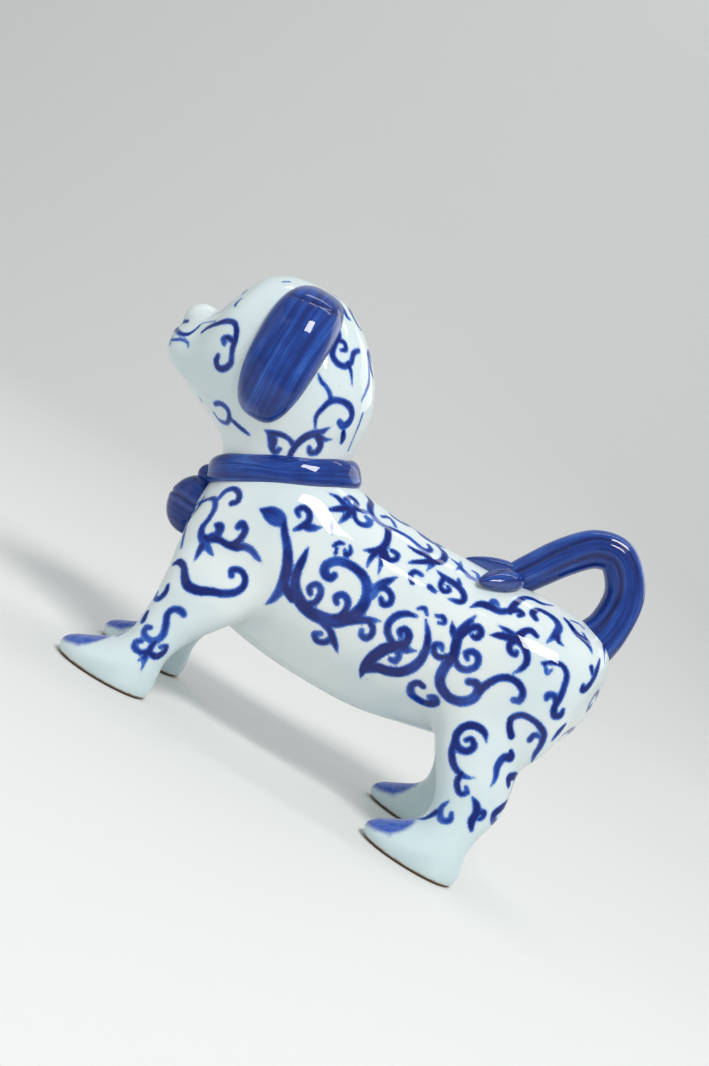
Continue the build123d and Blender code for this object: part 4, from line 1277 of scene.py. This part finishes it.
def rope(line, radius, groove_depth):
    """A round section swept along a line in the mid-plane, with grooves pressed along both sides."""
    dense = curve(np.column_stack([line, radius]), 14)
    path, size = dense[:, :2], dense[:, 2]
    run = np.gradient(path, axis=0)
    run /= np.linalg.norm(run, axis=1, keepdims=True)
    normal = np.stack([-run[:, 1], run[:, 0]], 1)
    angle = np.linspace(0, tau, 72, endpoint=False)[None, :]
    way = np.concatenate([[0], np.cumsum(np.linalg.norm(np.diff(path, axis=0), axis=1))])[:, None]
    ends = smooth_step(4, 16, way) * smooth_step(0, 10, way[-1] - way)
    bend = 0.10 * np.sin(way / 11.0)
    stretches = ((-2.1, 34, 96), (-1.2, 10, 70), (1.2, 10, 70), (2.1, 34, 96))
    groove = sum(np.exp(-((np.abs(np.angle(np.exp(1j * (angle - place - bend)))) / 0.10) ** 2))
                 * smooth_step(start, start + 14, way) * smooth_step(stop + 14, stop, way)
                 for place, start, stop in stretches)
    r = size[:, None] * (1 + 0.012 * np.sin(way / 5.0 + 2 * angle)) - groove_depth * groove * ends
    out, side = r * np.cos(angle), r * np.sin(angle)
    rings = np.stack([path[:, :1] + out * normal[:, :1], side, path[:, 1:] + out * normal[:, 1:]], -1)
    around = 7.0 * np.cos(angle) + 3 * np.sin(angle)
    brushed = np.stack([way + 0 * angle, around + 0 * way, groove * ends], -1)
    thin = (0.55 * smooth_step(0.80, 1.0, np.cos(angle)) * ends
            + 0.25 * smooth_step(0.9, 1.0, -np.cos(angle)) * ends)
    return rings, brushed, thin


rings, brushed, thin = rope(TAIL_LINE, TAIL_RADIUS, 0.5)
ringed("rolled_tail", rings, TAIL_WASH, ["tail"], brushed, thin)


# %% Three leaves at the tail's end
def leaf(middle, run, length, width, thickness):
    """A pointed pod, rounded underneath, with a midrib groove and side veins on its upper face."""
    run = np.asarray(run, float) / np.linalg.norm(run)
    across = np.cross(run, [0.0, 0.0, 1.0])
    across /= np.linalg.norm(across)
    up = np.cross(across, run)
    t = np.linspace(0.03, 0.97, 60)[:, None]
    angle = np.linspace(0, tau, 64, endpoint=False)[None, :]
    body = np.sin(pi * t**0.82) ** 0.72
    side, rise = np.cos(angle), np.sin(angle)
    rib = np.exp(-((side / 0.09) ** 2)) * (rise > 0)
    wave = np.sin(9.0 * (t * 2.2 - 0.55 * np.abs(side)) * pi / 2.2)
    veins = np.exp(-((wave / 0.16) ** 2)) * smooth_step(0.0, 0.35, rise)
    veins = veins * smooth_step(0.05, 0.3, np.abs(side))
    lift = 1 - 0.11 * rib - 0.03 * veins * body
    place = (np.asarray(middle) + ((t - 0.5) * length)[..., None] * run
             + (body * side * width / 2)[..., None] * across
             + (body * rise * lift * thickness / 2)[..., None] * up)
    grooves = np.clip(0.9 * rib + 0.35 * veins, 0, 1)
    brushed = np.stack([t * length + 0 * angle, side * width / 2 + 0 * t, grooves], -1)
    thin = 0.6 * smooth_step(0.82, 1.0, np.abs(side)) + 0 * t
    return place, brushed, thin


rings, brushed, thin = leaf((48.4, 0, 104.2), (-22.0, 0, -5.0), 27.0, 12.5, 9.0)
ringed("spine_leaf", rings, TAIL_WASH, ["tail_leaf_middle"], brushed, thin)
for side_name, side in (("left", -1), ("right", 1)):
    rings, brushed, thin = leaf((50.6, side * 13.4, 101.6), (-11.5, side * 12.0, -7.0), 23.0, 11.5, 8.0)
    ringed(f"{side_name}_leaf", rings, TAIL_WASH, [f"tail_leaf_{side_name}"], brushed, thin)


# %% [markdown]
# ## A plain studio
#
# The dog stands on a pale sheet that curves up far behind it. One large soft light hangs over the
# camera's side, weaker ones fill from the left and from behind, another brightens the sheet where it
# rises, and the sheet throws light back from below.

# %% Sheet and lights
def cove(near, far, half_width, height, radius):
    """A floor that turns up into a wall in a round sweep, as a profile moved sideways."""
    turn = np.linspace(-pi / 2, 0, 24)
    bend = np.stack([far - radius + radius * np.cos(turn), radius + radius * np.sin(turn)], 1)
    profile = np.vstack([[near, 0.0], bend, [far, height]])
    left = np.column_stack([np.full(len(profile), -half_width), profile])
    right = np.column_stack([np.full(len(profile), half_width), profile])
    i = np.arange(len(profile) - 1)
    quads = np.stack([i, i + len(profile), i + len(profile) + 1, i + 1], 1)
    mesh = bpy.data.meshes.new("sheet")
    mesh.from_pydata(np.vstack([left, right]).tolist(), [], quads.tolist())
    mesh.polygons.foreach_set("use_smooth", np.ones(len(quads), bool))
    sheet = bpy.data.objects.new("sheet", mesh)
    bpy.context.scene.collection.objects.link(sheet)
    return sheet


paper = Recipe("pale matte paper")
paper_shader = paper.add("BsdfPrincipled", {"Base Color": linear("#E2E3E1"), "Roughness": 0.9})
backdrop = cove(near=-2.2, far=2.4, half_width=4.0, height=3.4, radius=1.2)
backdrop.location.z = -0.0004
backdrop.data.materials.append(paper.finish(paper_shader))


def softbox(name, place, target, width, height, power, colour):
    """A flat soft light at a place, turned to its target."""
    lamp = bpy.data.lights.new(name, "AREA")
    lamp.shape = "RECTANGLE"
    lamp.size, lamp.size_y = width, height
    lamp.energy, lamp.color = power, colour
    holder = bpy.data.objects.new(name, lamp)
    bpy.context.scene.collection.objects.link(holder)
    holder.location = place
    holder.rotation_euler = (Vector(target) - Vector(place)).to_track_quat("-Z", "Y").to_euler()


DOG_MIDDLE = (0.0, 0.0, 0.09)
softbox("overhead window", (0.30, -0.75, 1.15), DOG_MIDDLE, 0.50, 0.36, 11.0, (1.0, 0.99, 0.97))
softbox("left fill", (-1.3, -0.5, 0.7), DOG_MIDDLE, 1.0, 1.0, 1.2, (0.94, 0.97, 1.0))
softbox("back fill", (0.9, 1.1, 0.9), DOG_MIDDLE, 1.0, 0.8, 3.5, (1.0, 1.0, 1.0))
softbox("wall wash", (0.0, 0.9, 2.6), (0.0, 2.3, 0.6), 2.4, 0.6, 15.0, (1.0, 0.99, 0.98))
world = bpy.data.worlds.new("soft room")
world.use_nodes = True
world.node_tree.nodes["Background"].inputs["Color"].default_value = linear("#E4E9EC")
world.node_tree.nodes["Background"].inputs["Strength"].default_value = 0.58
bpy.context.scene.world = world
bpy.context.scene.view_settings.view_transform = "Standard"

# %% [markdown]
# ## The camera
#
# The dog is looked at from its left, half a metre away, and held nose up, so the camera is rolled.

# %% Camera
camera_data = bpy.data.cameras.new("camera")
camera = bpy.data.objects.new("camera", camera_data)
bpy.context.scene.collection.objects.link(camera)
camera.location = EYE * MM
ROLL, FIELD_OF_VIEW = radians(31), radians(42.3)
LOOKED_AT = Vector((-0.005, 0, 0.0883))
outward = (camera.location - LOOKED_AT).normalized()
rightward = Vector((-sin(ROLL), 0, cos(ROLL))).cross(outward).normalized()
camera.rotation_euler = Matrix((rightward, outward.cross(rightward), outward)).transposed().to_euler()
camera_data.sensor_fit = "VERTICAL"
camera_data.sensor_height = 24.0
camera_data.lens = camera_data.sensor_height / 2 / np.tan(FIELD_OF_VIEW / 2)
bpy.context.scene.camera = camera
print("lens, mm:", round(camera_data.lens, 2))

# %% Bringing the scene up to date
bpy.context.view_layer.update()
